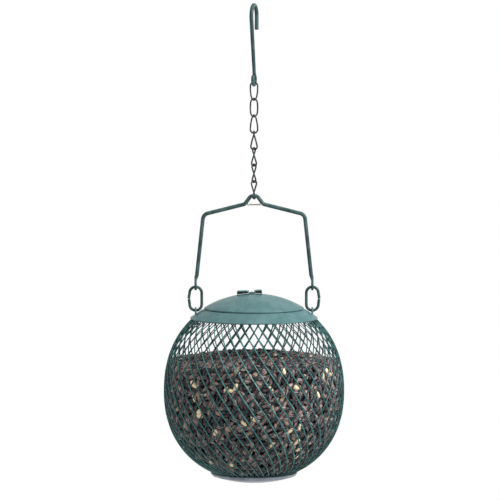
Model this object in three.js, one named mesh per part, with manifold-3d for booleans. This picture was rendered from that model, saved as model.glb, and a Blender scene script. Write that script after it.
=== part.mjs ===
// Hanging bird feeder: a wire hook, a twisted-link chain, a wire bail, two side links and a
// round mesh seed basket with a lift-off lid. Millimetres, +Z up, +X to the right.
// The origin is the inside of the hook's crook at its top, where the feeder rests on its branch.
import * as THREE from "three";
import { mergeVertices } from "three/addons/utils/BufferGeometryUtils.js";
import Module from "manifold-3d";

const wasm = await Module();
wasm.setup();

// ---- Driving dimensions ----
const GAP = 0.3; // clearance left between pieces that rest on each other

const hook = {
  wire: 2.05, // wire radius
  crook: 11, // crook radius, on the wire's centreline
  plane: 76, // heading of the hook's plane about +Z, degrees
  tip: -22.8, // height of the free end
  shankFoot: -62, // height where the shank meets the eye's neck
  eyeRadius: 5.05,
  eyeCentre: -72.6,
  eyeFrom: 60, // the eye's wire starts at this angle and turns clockwise to the other, degrees
  eyeTo: -232,
};
const chain = {
  wire: 0.85, // wire radius
  width: 7.3, // across a link, on the wire's centreline
  length: 18.3,
  slack: 0.2,
  twist: 90, // turn from a link's top to its bottom, degrees
  headings: [15, -1, -27, -60, -80, -92, -104], // of each link's middle about +Z, degrees
};
const bail = {
  wire: 2,
  crownHalf: 3.2, // half width of the bump's crown, which the chain hangs from
  crownBend: 3.6,
  bumpHalf: 9.3, // half width of the bump at its foot
  bumpDrop: 8.2,
  bumpBend: 4,
  armSlope: 14, // degrees below level
  shoulderX: 50.6,
  shoulderBend: 6.5,
  elbowX: 57.2,
  elbowZ: -268,
  elbowBend: 12,
  eyeThick: 2.6,
  eyeRadius: 4.4,
  eyeBore: 2.4,
};
const crossbar = { wire: 0.75, half: 5.9, drop: 8.8 };
const sideLink = { wire: 1.45, x: 58.4, width: 12.1, length: 23.8, topZ: -279.4 };
const lug = { thick: 1.8, radius: 3.8, bore: 2, halfFoot: 5.2 };
const ball = { radius: 90.8, centreZ: -384, up: 94.9, down: 90.1, power: 2.2, wall: 1.2 };
const mesh = { topZ: -309.1, bottomZ: -467 };
const collar = { seatZ: -301.9, innerR: 50.3, outerR: 63.4, drop: 8, bulge: 1.12, sheet: 0.8 };
const throat = { radius: 46, bottomZ: -308 };
const clampRing = { band: 2, corner: 1.4 }; // height of its band, and its corner's inner set-back
const lid = { radius: 49.8, rimZ: -301.6, rimHigh: 1.2, topZ: -286.4, sheet: 0.8 };
const skirt = { radius: 45.4, sheet: 0.6, topZ: -299, bottomZ: -306.8 };
const grip = {
  half: 12.6,
  width: 9,
  sheet: 0.9,
  topZ: -282.8,
  footZ: -286.8,
  dipX: 2.1, // where the strap dips to its rivet
  dipHalf: 2.4,
  lean: -2.64, // the grip sits this far round the dome from its top, degrees
};
const rivet = { shank: 1.2, head: 2.2, headHigh: 0.8 };
const dish = {
  rimR: 43.6,
  rimZ: -466.1,
  waistR: 41.9,
  waistZ: -468.3,
  bottomZ: -476,
  flatR: 12,
  sheet: 0.8,
};
const pan = { discZ: -467.6, sheet: 0.8, rimTopZ: -465.2 };
const seeds = { crownZ: -345, edgeZ: -355.5, bottomZ: -466.6 };
const ringInset = ball.wall + 2 * GAP; // depth of the rings that line the mesh's inside

const ROUND = 36; // sides of a turned piece
const deg = THREE.MathUtils.degToRad;

// ---- Finishes ----
const finish = (color, roughness, metalness) =>
  new THREE.MeshStandardMaterial({ color, roughness, metalness });
const greenPaint = finish(0x6f9492, 0.42, 0.3);
const darkWire = finish(0x3d4b48, 0.5, 0.6);
const bareWire = finish(0x8a8478, 0.4, 0.8);
const meshPaint = finish(0x35564f, 0.5, 0.3);
const dishPaint = finish(0xa0b2bc, 0.4, 0.3);
const seedHull = finish(0x2b2327, 0.75, 0);

// ---- Geometry helpers ----
const range = (count) => Array.from({ length: count }, (_, i) => i);
const spread = (from, to, count) => range(count).map((i) => from + ((to - from) * i) / (count - 1));

// A wire of elliptical section swept along a list of points. The section's first half axis lies
// along `side`, the second across it. An open wire gets flat ends.
function wire(points, radius, sides, side, closed = false) {
  const n = points.length;
  const positions = [];
  const index = [];
  const across = new THREE.Vector3();
  const out = new THREE.Vector3();
  for (let i = 0; i < n; i++) {
    const before = points[closed ? (i + n - 1) % n : Math.max(i - 1, 0)];
    const after = points[closed ? (i + 1) % n : Math.min(i + 1, n - 1)];
    const into = points[i].clone().sub(before).normalize();
    const away = after.clone().sub(points[i]).normalize();
    const along = into.clone().add(away).normalize();
    out.copy(typeof side === "function" ? side(i) : side);
    out.addScaledVector(along, -out.dot(along)).normalize();
    across.crossVectors(along, out);
    for (let k = 0; k < sides; k++) {
      const a = ((k + 0.5) / sides) * 2 * Math.PI;
      const p = points[i].clone();
      p.addScaledVector(out, radius * Math.cos(a)).addScaledVector(across, radius * Math.sin(a));
      positions.push(p.x, p.y, p.z);
    }
  }
  const rings = closed ? n : n - 1;
  for (let i = 0; i < rings; i++) {
    for (let k = 0; k < sides; k++) {
      const a = i * sides + k;
      const b = i * sides + ((k + 1) % sides);
      const c = ((i + 1) % n) * sides + k;
      const d = ((i + 1) % n) * sides + ((k + 1) % sides);
      index.push(a, b, c, b, d, c);
    }
  }
  if (!closed) {
    const last = (n - 1) * sides;
    for (let k = 1; k < sides - 1; k++) {
      index.push(0, k + 1, k);
      index.push(last, last + k, last + k + 1);
    }
  }
  const geometry = new THREE.BufferGeometry();
  geometry.setAttribute("position", new THREE.Float32BufferAttribute(positions, 3));
  return geometry.setIndex(index);
}

// Points along straight runs joined by arcs: corners are [x, z, bend radius] in the XZ plane.
function bentPath(corners, stepDeg = 15) {
  const points = [];
  corners.forEach(([x, z, bend], i) => {
    const here = new THREE.Vector2(x, z);
    if (!bend) {
      points.push(here);
      return;
    }
    const into = here.clone().sub(new THREE.Vector2(...corners[i - 1])).normalize();
    const away = new THREE.Vector2(...corners[i + 1]).sub(here).normalize();
    const turn = Math.atan2(into.cross(away), into.dot(away));
    const back = bend * Math.tan(Math.abs(turn) / 2);
    const start = here.clone().addScaledVector(into, -back);
    const normal = new THREE.Vector2(-into.y, into.x).multiplyScalar(Math.sign(turn));
    const centre = start.clone().addScaledVector(normal, bend);
    const count = Math.max(2, Math.ceil(Math.abs(turn) / deg(stepDeg)) + 1);
    spread(0, turn, count).forEach((a) => points.push(start.clone().rotateAround(centre, a)));
  });
  return points.map((p) => new THREE.Vector3(p.x, 0, p.y));
}

// A solid of revolution about Z from a closed outline of [radius, z] points, in either order.
function turned(outline) {
  const pts = outline.map(([r, z]) => new THREE.Vector2(Math.max(r, 0), z));
  const onAxis = pts[0].x === 0 && pts[pts.length - 1].x === 0;
  if (THREE.ShapeUtils.area(pts) < 0) pts.reverse();
  if (!onAxis) pts.push(pts[0].clone());
  return new THREE.LatheGeometry(pts, ROUND).rotateX(Math.PI / 2);
}

// Sheet metal turned about Z: the outline runs along `outer` and back along `inner`.
const turnedSheet = (outer, inner) => turned([...outer, ...[...inner].reverse()]);

function solidOf(geometry) {
  const g = (geometry.index ? geometry.toNonIndexed() : geometry).clone();
  Object.keys(g.attributes).forEach((name) => name !== "position" && g.deleteAttribute(name));
  const merged = mergeVertices(g, 1e-4);
  return new wasm.Manifold(
    new wasm.Mesh({
      numProp: 3,
      vertProperties: merged.attributes.position.array,
      triVerts: new Uint32Array(merged.index.array),
    }),
  );
}

function geometryOf(solid) {
  const { vertProperties, triVerts } = solid.getMesh();
  const geometry = new THREE.BufferGeometry();
  geometry.setAttribute("position", new THREE.BufferAttribute(vertProperties, 3));
  return geometry.setIndex(new THREE.BufferAttribute(triVerts, 1));
}

const joined = (a, b) => geometryOf(solidOf(a).add(solidOf(b)));
const cut = (a, b) => geometryOf(solidOf(a).subtract(solidOf(b)));

// A flat plate in the YZ plane, extruded along X and centred at x.
function plateAcrossX(shape, thick, x) {
  const plate = new THREE.ExtrudeGeometry(shape, { depth: thick, bevelEnabled: false, curveSegments: 10 });
  plate.applyMatrix4(new THREE.Matrix4().set(0, 0, 1, x - thick / 2, 1, 0, 0, 0, 0, 1, 0, 0, 0, 0, 0, 1));
  return plate;
}

// ---- Shapes that several pieces share ----
// Radius of the ball at a height, moved inwards by `inset` along its normal.
function ballRadius(z, inset = 0) {
  const rise = z - ball.centreZ;
  const reach = (rise > 0 ? ball.up : ball.down) - inset;
  const full = 1 - Math.pow(Math.abs(rise) / reach, ball.power);
  return (ball.radius - inset) * Math.pow(Math.max(full, 0), 1 / ball.power);
}

// Points up the ball's side between two heights, evenly spaced in angle round its middle.
function ballCurve(bottomZ, topZ, inset, count) {
  const lift = (z) => (z - ball.centreZ) / ((z > ball.centreZ ? ball.up : ball.down) - inset);
  const angle = (z) => Math.sign(lift(z)) * Math.asin(Math.pow(Math.abs(lift(z)), ball.power / 2));
  return spread(angle(bottomZ), angle(topZ), count).map((a) => {
    const reach = (a > 0 ? ball.up : ball.down) - inset;
    const z = ball.centreZ + Math.sign(a) * reach * Math.pow(Math.abs(Math.sin(a)), 2 / ball.power);
    return [(ball.radius - inset) * Math.pow(Math.cos(a), 2 / ball.power), z];
  });
}

function collarZ(r) {
  const t = (r - collar.innerR) / (collar.outerR - collar.innerR);
  return collar.seatZ - collar.drop * Math.pow(Math.max(t, 0), collar.bulge);
}

const cap = (radius, height) => (radius * radius + height * height) / (2 * height);
const capZ = (r, bigR) => bigR - Math.sqrt(bigR * bigR - r * r);

// ---- Hook and chain ----
function hookGeometry() {
  const centre = new THREE.Vector2(0, hook.wire - hook.crook);
  const arc = (mid, radius, from, to, count) =>
    spread(from, to, count).map((a) => {
      return new THREE.Vector2(mid.x + radius * Math.cos(a), mid.y + radius * Math.sin(a));
    });
  const reach = centre.y - hook.shankFoot;
  const lean = Math.asin(hook.crook / reach);
  const crookArc = arc(centre, hook.crook, 0, Math.PI + lean, 15);
  const foot = new THREE.Vector2(0, hook.shankFoot);
  const shankDir = foot.clone().sub(crookArc[crookArc.length - 1]).normalize();
  const eyeMid = new THREE.Vector2(0, hook.eyeCentre);
  const eyeArc = arc(eyeMid, hook.eyeRadius, deg(hook.eyeFrom), deg(hook.eyeTo), 19);
  const eyeDir = new THREE.Vector2(Math.sin(deg(hook.eyeFrom)), -Math.cos(deg(hook.eyeFrom)));
  const neck = new THREE.CubicBezierCurve(
    foot,
    foot.clone().addScaledVector(shankDir, 3),
    eyeArc[0].clone().addScaledVector(eyeDir, -2.4),
    eyeArc[0],
  );
  const tip = new THREE.Vector2(hook.crook, hook.tip);
  const flat = [tip, ...crookArc, ...neck.getPoints(5), ...eyeArc.slice(1)];
  const points = flat.map((p) => new THREE.Vector3(p.x, 0, p.y));
  return wire(points, hook.wire, 8, new THREE.Vector3(0, 1, 0)).rotateZ(deg(hook.plane));
}

// The bottom wire of the hook's eye, on its centreline.
const eyeBottomZ = hook.eyeCentre - hook.eyeRadius;
const firstLinkZ = eyeBottomZ + hook.wire + chain.wire + chain.slack;
const linkPitch = chain.length - 2 * chain.wire - chain.slack;
const linkTopZ = (i) => firstLinkZ - i * linkPitch;
const lastLinkBottomZ = linkTopZ(chain.headings.length - 1) - chain.length;

// A chain link: an oval of wire twisted evenly from its top to its bottom.
function chainLinkGeometry(i) {
  const bend = chain.width / 2;
  const straight = chain.length / 2 - bend;
  const ends = spread(0, Math.PI, 8);
  const sideRuns = spread(-1, 1, 8).slice(1, -1);
  const oval = [
    ...ends.map((a) => [bend * Math.cos(a), straight + bend * Math.sin(a)]),
    ...sideRuns.map((t) => [-bend, -straight * t]),
    ...ends.map((a) => [-bend * Math.cos(a), -straight - bend * Math.sin(a)]),
    ...sideRuns.map((t) => [bend, straight * t]),
  ];
  const middleZ = linkTopZ(i) - chain.length / 2;
  const heading = (z) => deg(chain.headings[i] - (chain.twist * z) / chain.length);
  const points = oval.map(([u, z]) => {
    const a = heading(z);
    return new THREE.Vector3(u * Math.cos(a), u * Math.sin(a), middleZ + z);
  });
  const facing = (k) => {
    const a = heading(oval[k][1]);
    return new THREE.Vector3(-Math.sin(a), Math.cos(a), 0);
  };
  return wire(points, chain.wire, 6, facing, true);
}

// ---- Bail and side links ----
const bailTopZ = lastLinkBottomZ + chain.wire + bail.wire + chain.slack;
const bailEyeZ = sideLink.topZ - sideLink.wire - GAP / 2 + bail.eyeBore;

function bailGeometry() {
  const baseZ = bailTopZ - bail.bumpDrop;
  const shoulderZ = baseZ - (bail.shoulderX - bail.bumpHalf) * Math.tan(deg(bail.armSlope));
  const half = [
    [bail.crownHalf, bailTopZ, bail.crownBend],
    [bail.bumpHalf, baseZ, bail.bumpBend],
    [bail.shoulderX, shoulderZ, bail.shoulderBend],
    [bail.elbowX, bail.elbowZ, bail.elbowBend],
    [sideLink.x, bailEyeZ + bail.eyeRadius + 3, 0],
    [sideLink.x, bailEyeZ + bail.eyeBore + 1, 0],
  ];
  const mirrored = [...half].reverse().map(([x, z, bend]) => [-x, z, bend]);
  let solid = wire(bentPath([...mirrored, ...half]), bail.wire, 8, new THREE.Vector3(0, 1, 0));
  for (const side of [-1, 1]) {
    solid = joined(solid, bailEyeGeometry(side * sideLink.x));
    const window = new THREE.CylinderGeometry(bail.eyeBore, bail.eyeBore, 9, 16);
    window.rotateZ(Math.PI / 2).translate(side * sideLink.x, 0, bailEyeZ);
    solid = cut(solid, window);
  }
  return solid;
}

// The hammered-flat end of the bail's leg, before its hole is made.
function bailEyeGeometry(x) {
  const shape = new THREE.Shape();
  const neckTop = bailEyeZ + bail.eyeRadius + 4.5;
  shape.moveTo(bail.wire * 0.9, neckTop);
  shape.lineTo(-bail.wire * 0.9, neckTop);
  shape.absarc(0, bailEyeZ, bail.eyeRadius, deg(150), deg(390), false);
  return plateAcrossX(shape, bail.eyeThick, x);
}

function crossbarGeometry() {
  const z = bailTopZ - crossbar.drop;
  const points = [-crossbar.half, crossbar.half].map((x) => new THREE.Vector3(x, 0, z));
  return wire(points, crossbar.wire, 8, new THREE.Vector3(0, 1, 0));
}

function sideLinkGeometry(side) {
  const bend = sideLink.width / 2;
  const straight = sideLink.length / 2 - bend;
  const middleZ = sideLink.topZ - sideLink.length / 2;
  const end = spread(0, Math.PI, 11);
  const oval = [
    ...end.map((a) => [bend * Math.cos(a), straight + bend * Math.sin(a)]),
    ...end.map((a) => [-bend * Math.cos(a), -straight - bend * Math.sin(a)]),
  ];
  const points = oval.map(([u, z]) => new THREE.Vector3(side * sideLink.x + u, 0, middleZ + z));
  return wire(points, sideLink.wire, 8, new THREE.Vector3(0, 1, 0), true);
}

// ---- Collar, lugs and throat ----
function collarGeometry() {
  const { innerR, outerR, seatZ, sheet } = collar;
  const cone = spread(innerR, outerR, 6).map((r) => [r, collarZ(r)]);
  const slant = Math.atan2(collar.drop, outerR - innerR);
  const under = cone.map(([r, z]) => [r - sheet * Math.sin(slant), z - sheet * Math.cos(slant)]);
  const upper = [[throat.radius, throat.bottomZ], [throat.radius, seatZ], ...cone];
  const lower = [
    [throat.radius + sheet, throat.bottomZ],
    [throat.radius + sheet, seatZ - sheet],
    [under[0][0], seatZ - sheet],
    ...under.slice(1),
  ];
  return turnedSheet(upper, lower);
}

// A lug standing on the collar, its foot shaped to the slope.
const lugBoreZ = sideLink.topZ - sideLink.length + sideLink.wire + GAP / 2 - lug.bore;

function lugGeometry(side) {
  const footZ = collarZ(sideLink.x + 2) - 2;
  const shape = new THREE.Shape();
  shape.moveTo(-lug.halfFoot, footZ);
  shape.lineTo(lug.halfFoot, footZ);
  shape.absarc(0, lugBoreZ, lug.radius, deg(20), deg(160), false);
  const bore = new THREE.Path().absarc(0, lugBoreZ, lug.bore, 0, 2 * Math.PI, true);
  shape.holes.push(bore);
  const plate = plateAcrossX(shape, lug.thick, side * sideLink.x);
  const radii = spread(collar.innerR, collar.outerR, 6);
  const slope = radii.map((r) => [r, collarZ(r) + GAP]);
  const under = turned([[0, slope[0][1]], ...slope, [collar.outerR, footZ - 5], [0, footZ - 5]]);
  return cut(plate, under);
}

// The ring inside the basket that nips the mesh's top edge against the collar.
function clampRingGeometry() {
  const topZ = mesh.topZ - 2 * GAP;
  const bottomZ = topZ - clampRing.band;
  const flangeEdge = ballRadius(topZ, ringInset) - clampRing.corner;
  return turned([
    [throat.radius, topZ],
    [ballRadius(topZ, ringInset), topZ],
    [ballRadius(bottomZ, ringInset), bottomZ],
    [ballRadius(bottomZ, ringInset + collar.sheet), bottomZ],
    [flangeEdge, topZ - collar.sheet],
    [throat.radius, topZ - collar.sheet],
  ]);
}

// ---- Lid ----
const domeR = cap(lid.radius, lid.topZ - (lid.rimZ + lid.rimHigh));

// Moves a piece made over the dome's top round the dome to where the grip sits.
function ontoLid(geometry) {
  const centreZ = lid.topZ - domeR;
  return geometry.translate(0, 0, -centreZ).rotateY(deg(grip.lean)).translate(0, 0, centreZ);
}

// The rivet's hole, as a cylinder.
function rivetHole() {
  const radius = rivet.shank + GAP;
  const hole = new THREE.CylinderGeometry(radius, radius, 9, 16).rotateX(Math.PI / 2);
  return hole.translate(grip.dipX, 0, lid.topZ);
}

function lidGeometry() {
  const outer = spread(0, lid.radius, 9).map((r) => [r, lid.topZ - capZ(r, domeR)]);
  const innerEdge = lid.radius - lid.sheet;
  const inner = spread(0, innerEdge, 9).map((r) => [r, lid.topZ - lid.sheet - capZ(r, domeR)]);
  const dome = turnedSheet([...outer, [lid.radius, lid.rimZ]], [...inner, [innerEdge, lid.rimZ]]);
  return cut(dome, ontoLid(rivetHole()));
}

function skirtGeometry() {
  const { radius, sheet, topZ, bottomZ } = skirt;
  return turned([[radius, bottomZ], [radius, topZ], [radius - sheet, topZ], [radius - sheet, bottomZ]]);
}

// The finger grip: a strap folded down at both ends and along its back, and pressed down onto
// the lid at its rivet.
function gripGeometry() {
  const { half, width, sheet, topZ, footZ, dipX, dipHalf } = grip;
  const dipZ = lid.topZ + GAP + sheet;
  const ramp = dipHalf + (topZ - dipZ);
  const under = sheet * 0.4;
  const outline = [
    [half, footZ],
    [half, topZ],
    [dipX + ramp, topZ],
    [dipX + dipHalf, dipZ],
    [dipX - dipHalf, dipZ],
    [dipX - ramp, topZ],
    [-half, topZ],
    [-half, footZ],
    [sheet - half, footZ],
    [sheet - half, topZ - sheet],
    [dipX - ramp - under, topZ - sheet],
    [dipX - dipHalf - under, dipZ - sheet],
    [dipX + dipHalf + under, dipZ - sheet],
    [dipX + ramp + under, topZ - sheet],
    [half - sheet, topZ - sheet],
    [half - sheet, footZ],
  ];
  const shape = new THREE.Shape(outline.map(([x, z]) => new THREE.Vector2(x, z)));
  const strap = new THREE.ExtrudeGeometry(shape, { depth: width, bevelEnabled: false });
  strap.rotateX(Math.PI / 2).translate(0, width / 2, 0);
  const flangeZ = lid.topZ + GAP;
  const flange = new THREE.BoxGeometry(2 * half - sheet, sheet, topZ - sheet / 2 - flangeZ);
  flange.translate(0, (width - sheet) / 2, (topZ - sheet / 2 + flangeZ) / 2);
  return ontoLid(cut(joined(strap, flange), rivetHole()));
}

function gripRivetGeometry() {
  const { shank, head, headHigh } = rivet;
  const strapTop = lid.topZ + GAP + grip.sheet + GAP / 2;
  const underLid = lid.topZ - lid.sheet - GAP;
  const solid = turned([
    [0, underLid - headHigh],
    [head, underLid - headHigh],
    [head, underLid],
    [shank, underLid],
    [shank, strapTop],
    [head, strapTop],
    [head * 0.75, strapTop + headHigh],
    [0, strapTop + headHigh],
  ]);
  return ontoLid(solid.translate(grip.dipX, 0, 0));
}

// ---- Basket ----
function meshGeometry() {
  const outer = ballCurve(mesh.bottomZ, mesh.topZ, 0, 20);
  const inner = ballCurve(mesh.bottomZ, mesh.topZ, ball.wall, 20);
  return turnedSheet(outer, inner);
}

function dishGeometry() {
  const { rimR, rimZ, waistR, waistZ, bottomZ, flatR, sheet } = dish;
  const bigR = cap(waistR, waistZ - bottomZ);
  const bowl = spread(waistR, flatR, 5).map((r) => [r, bottomZ + capZ(r, bigR)]);
  const lowZ = bowl[bowl.length - 1][1];
  const bowlInside = bowl.map(([r, z]) => [r - sheet * 0.4, z + sheet]);
  const outer = [[rimR, rimZ], ...bowl, [0, lowZ]];
  const inner = [[rimR - sheet, rimZ], ...bowlInside, [0, lowZ + sheet]];
  return turnedSheet(outer, inner);
}

// The plate pressed inside the basket that nips the mesh's lower edge against the dish.
function panGeometry() {
  const { discZ, sheet, rimTopZ } = pan;
  const outer = ballCurve(discZ, rimTopZ, ringInset, 3);
  const inner = ballCurve(discZ, rimTopZ, ringInset + sheet, 3);
  const edge = outer[0][0] - sheet;
  return turnedSheet([[0, discZ - sheet], [edge, discZ - sheet], ...outer], [[0, discZ], ...inner]);
}

// The heap of sunflower seed that fills the basket.
function seedGeometry() {
  const { crownZ, edgeZ, bottomZ } = seeds;
  const side = ballCurve(bottomZ, edgeZ, ringInset + collar.sheet + GAP, 12);
  const edge = side[side.length - 1][0];
  const crown = [0.75, 0.4, 0].map((t) => [edge * t, crownZ + (edgeZ - crownZ) * t * t]);
  return turned([[0, bottomZ], ...side, ...crown]);
}

// ---- Assembly ----
function piece(name, geometry, material) {
  const made = new THREE.Mesh(geometry, material);
  made.name = name;
  return made;
}

const chainGroup = new THREE.Group();
chain.headings.forEach((_, i) =>
  chainGroup.add(piece(`chain_link_${i + 1}`, chainLinkGeometry(i), darkWire)),
);

const hanger = new THREE.Group();
hanger.add(
  piece("hanging_hook", hookGeometry(), greenPaint),
  chainGroup,
  piece("bail_handle", bailGeometry(), greenPaint),
  piece("bail_crossbar", crossbarGeometry(), bareWire),
  piece("side_link_left", sideLinkGeometry(-1), greenPaint),
  piece("side_link_right", sideLinkGeometry(1), greenPaint),
);

const lidGroup = new THREE.Group();
lidGroup.add(
  piece("lid_dome", lidGeometry(), greenPaint),
  piece("lid_skirt", skirtGeometry(), greenPaint),
  piece("lid_grip", gripGeometry(), greenPaint),
  piece("lid_rivet", gripRivetGeometry(), darkWire),
);

const basket = new THREE.Group();
basket.add(
  piece("top_collar", collarGeometry(), greenPaint),
  piece("hanger_lug_left", lugGeometry(-1), greenPaint),
  piece("hanger_lug_right", lugGeometry(1), greenPaint),
  piece("mesh_clamp_ring", clampRingGeometry(), greenPaint),
  piece("mesh_basket", meshGeometry(), meshPaint),
  piece("base_inner_plate", panGeometry(), dishPaint),
  piece("base_dish", dishGeometry(), dishPaint),
  piece("seed_fill", seedGeometry(), seedHull),
);

const group = new THREE.Group();
group.add(hanger, lidGroup, basket);

export default group;
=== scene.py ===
"""Looks of a hanging ball feeder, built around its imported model.

A wire hook, a chain of twisted links, a wire bail and two side links carry a ball of expanded
metal full of sunflower seed, with a domed lid on top and a shallow dish below. Sizes are in
metres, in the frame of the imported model, whose origin is inside the top of the hook's crook.
"""

import logging
import math
from dataclasses import dataclass, field
from enum import Enum
from typing import Any, Callable, Optional, Sequence

import bpy
import numpy as np
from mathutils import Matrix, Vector


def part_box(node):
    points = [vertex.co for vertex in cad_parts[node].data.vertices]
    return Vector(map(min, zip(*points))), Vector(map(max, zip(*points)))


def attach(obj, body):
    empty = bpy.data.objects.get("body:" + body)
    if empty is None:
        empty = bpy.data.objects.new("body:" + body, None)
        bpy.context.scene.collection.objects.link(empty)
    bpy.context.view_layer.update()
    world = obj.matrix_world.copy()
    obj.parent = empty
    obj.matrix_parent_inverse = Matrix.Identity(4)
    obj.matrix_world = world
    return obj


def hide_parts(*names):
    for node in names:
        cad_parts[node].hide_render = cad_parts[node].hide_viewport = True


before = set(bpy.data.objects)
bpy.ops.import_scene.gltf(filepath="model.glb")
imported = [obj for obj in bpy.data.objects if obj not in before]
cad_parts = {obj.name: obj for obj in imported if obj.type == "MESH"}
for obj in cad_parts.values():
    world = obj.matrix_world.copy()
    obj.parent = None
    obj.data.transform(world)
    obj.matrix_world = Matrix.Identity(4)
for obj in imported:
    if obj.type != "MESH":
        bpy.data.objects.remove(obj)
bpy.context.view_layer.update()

MM = 0.001
RIM_POINTS = 48
LOG = logging.getLogger("feeder")


# ---- Node trees written as expressions ----


class Sock:
    """One output socket that takes part in arithmetic on numbers."""

    def __init__(self, graph: "Graph", socket: bpy.types.NodeSocket) -> None:
        """Keeps the socket with the tree that it belongs to."""
        self.graph = graph
        self.socket = socket

    def math(self, operation: str, *values: Any) -> "Sock":
        """Returns a Math node of that operation on the values."""
        return self.graph.node("ShaderNodeMath", {"operation": operation}, dict(enumerate(values)))

    def __add__(self, other: Any) -> "Sock":
        """Returns self + other."""
        return self.math("ADD", self, other)

    def __radd__(self, other: Any) -> "Sock":
        """Returns other + self."""
        return self.math("ADD", other, self)

    def __sub__(self, other: Any) -> "Sock":
        """Returns self - other."""
        return self.math("SUBTRACT", self, other)

    def __rsub__(self, other: Any) -> "Sock":
        """Returns other - self."""
        return self.math("SUBTRACT", other, self)

    def __mul__(self, other: Any) -> "Sock":
        """Returns self * other."""
        return self.math("MULTIPLY", self, other)

    def __rmul__(self, other: Any) -> "Sock":
        """Returns other * self."""
        return self.math("MULTIPLY", other, self)

    def __truediv__(self, other: Any) -> "Sock":
        """Returns self / other."""
        return self.math("DIVIDE", self, other)

    def out(self, name: str) -> "Sock":
        """Returns another output of the same node."""
        return Sock(self.graph, self.socket.node.outputs[name])


class Graph:
    """A node tree that is filled by method calls."""

    def __init__(self, tree: bpy.types.NodeTree) -> None:
        """Keeps the tree."""
        self.tree = tree

    def node(
        self,
        kind: str,
        settings: Optional[dict[str, Any]] = None,
        inputs: Optional[dict[Any, Any]] = None,
        out: Any = 0,
    ) -> Sock:
        """Adds one node.

        Args:
            kind: The node's type, such as ShaderNodeMath.
            settings: Properties set before its sockets, with "stops" for a colour ramp.
            inputs: Values or Socks by input name or number.
            out: The output that is returned, by name or number.

        Returns:
            The chosen output.
        """
        made = self.tree.nodes.new(kind)
        for key, value in (settings or {}).items():
            if key == "stops":
                self._set_stops(made.color_ramp, value)
            else:
                setattr(made, key, value)
        for key, value in (inputs or {}).items():
            self._feed(made.inputs[key], value)
        return Sock(self, made.outputs[out])

    def _feed(self, socket: bpy.types.NodeSocket, value: Any) -> None:
        """Links a Sock to a socket, or sets a plain value."""
        if isinstance(value, Sock):
            self.tree.links.new(value.socket, socket)
        else:
            socket.default_value = value

    @staticmethod
    def _set_stops(
        ramp: bpy.types.ColorRamp, stops: Sequence[tuple[float, Sequence[float]]]
    ) -> None:
        """Gives a colour ramp its stops, each a position and an RGB colour."""
        while len(ramp.elements) < len(stops):
            ramp.elements.new(1.0)
        for element, (place, colour) in zip(ramp.elements, stops):
            element.position = place
            element.color = (*colour, 1.0)

    def vec(self, operation: str, *values: Any, **named: Any) -> Sock:
        """Returns a Vector Math node's vector result."""
        inputs: dict[Any, Any] = dict(enumerate(values))
        inputs.update(named)
        return self.node("ShaderNodeVectorMath", {"operation": operation}, inputs)

    def xyz(self, x: Any, y: Any, z: Any) -> Sock:
        """Returns a vector from three numbers."""
        return self.node("ShaderNodeCombineXYZ", None, {0: x, 1: y, 2: z})

    def split(self, vector: Sock) -> tuple[Sock, Sock, Sock]:
        """Returns a vector's three parts."""
        parts = self.node("ShaderNodeSeparateXYZ", None, {0: vector})
        return parts, parts.out("Y"), parts.out("Z")

    def smooth(
        self, value: Any, low: float, high: float, start: float = 0.0, end: float = 1.0
    ) -> Sock:
        """Returns value taken smoothly from [low, high] to [start, end]."""
        return self.node(
            "ShaderNodeMapRange",
            {"interpolation_type": "SMOOTHSTEP"},
            {0: value, 1: low, 2: high, 3: start, 4: end},
        )


class ShaderGraph(Graph):
    """The node tree of one material."""

    MIX_A, MIX_B, MIX_RESULT = 6, 7, 2
    NOISE_ROUGHNESS = 0.55

    def __init__(self, name: str) -> None:
        """Makes an empty material of that name."""
        self.material = bpy.data.materials.new(name)
        self.material.use_nodes = True
        super().__init__(self.material.node_tree)
        self.tree.nodes.clear()

    def place(self) -> Sock:
        """Returns the point's place on the object."""
        return self.node("ShaderNodeTexCoord", out="Object")

    def noise(self, place: Sock, scale: float, detail: float = 3.0) -> Sock:
        """Returns soft noise from 0 to 1, with its features 1 / scale metres apart."""
        return self.node(
            "ShaderNodeTexNoise",
            None,
            {"Vector": place, "Scale": scale, "Detail": detail, "Roughness": self.NOISE_ROUGHNESS},
        )

    def mix(self, share: Any, first: Any, second: Any) -> Sock:
        """Returns a colour between two, share of the way."""
        return self.node(
            "ShaderNodeMix",
            {"data_type": "RGBA"},
            {0: share, self.MIX_A: rgba(first), self.MIX_B: rgba(second)},
            self.MIX_RESULT,
        )

    def bump(self, height: Sock, distance: float, strength: float = 1.0) -> Sock:
        """Returns a normal raised by height, up to distance metres."""
        return self.node(
            "ShaderNodeBump", None, {"Height": height, "Distance": distance, "Strength": strength}
        )

    def surface(self, **sockets: Any) -> bpy.types.Material:
        """Ends the tree in a Principled shader.

        Args:
            **sockets: Its inputs, with _ for a space, as values or Socks.

        Returns:
            The finished material.
        """
        inputs = {key.replace("_", " "): value for key, value in sockets.items()}
        shader = self.node("ShaderNodeBsdfPrincipled", None, inputs)
        sink = self.tree.nodes.new("ShaderNodeOutputMaterial")
        self.tree.links.new(shader.socket, sink.inputs["Surface"])
        return self.material


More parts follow.
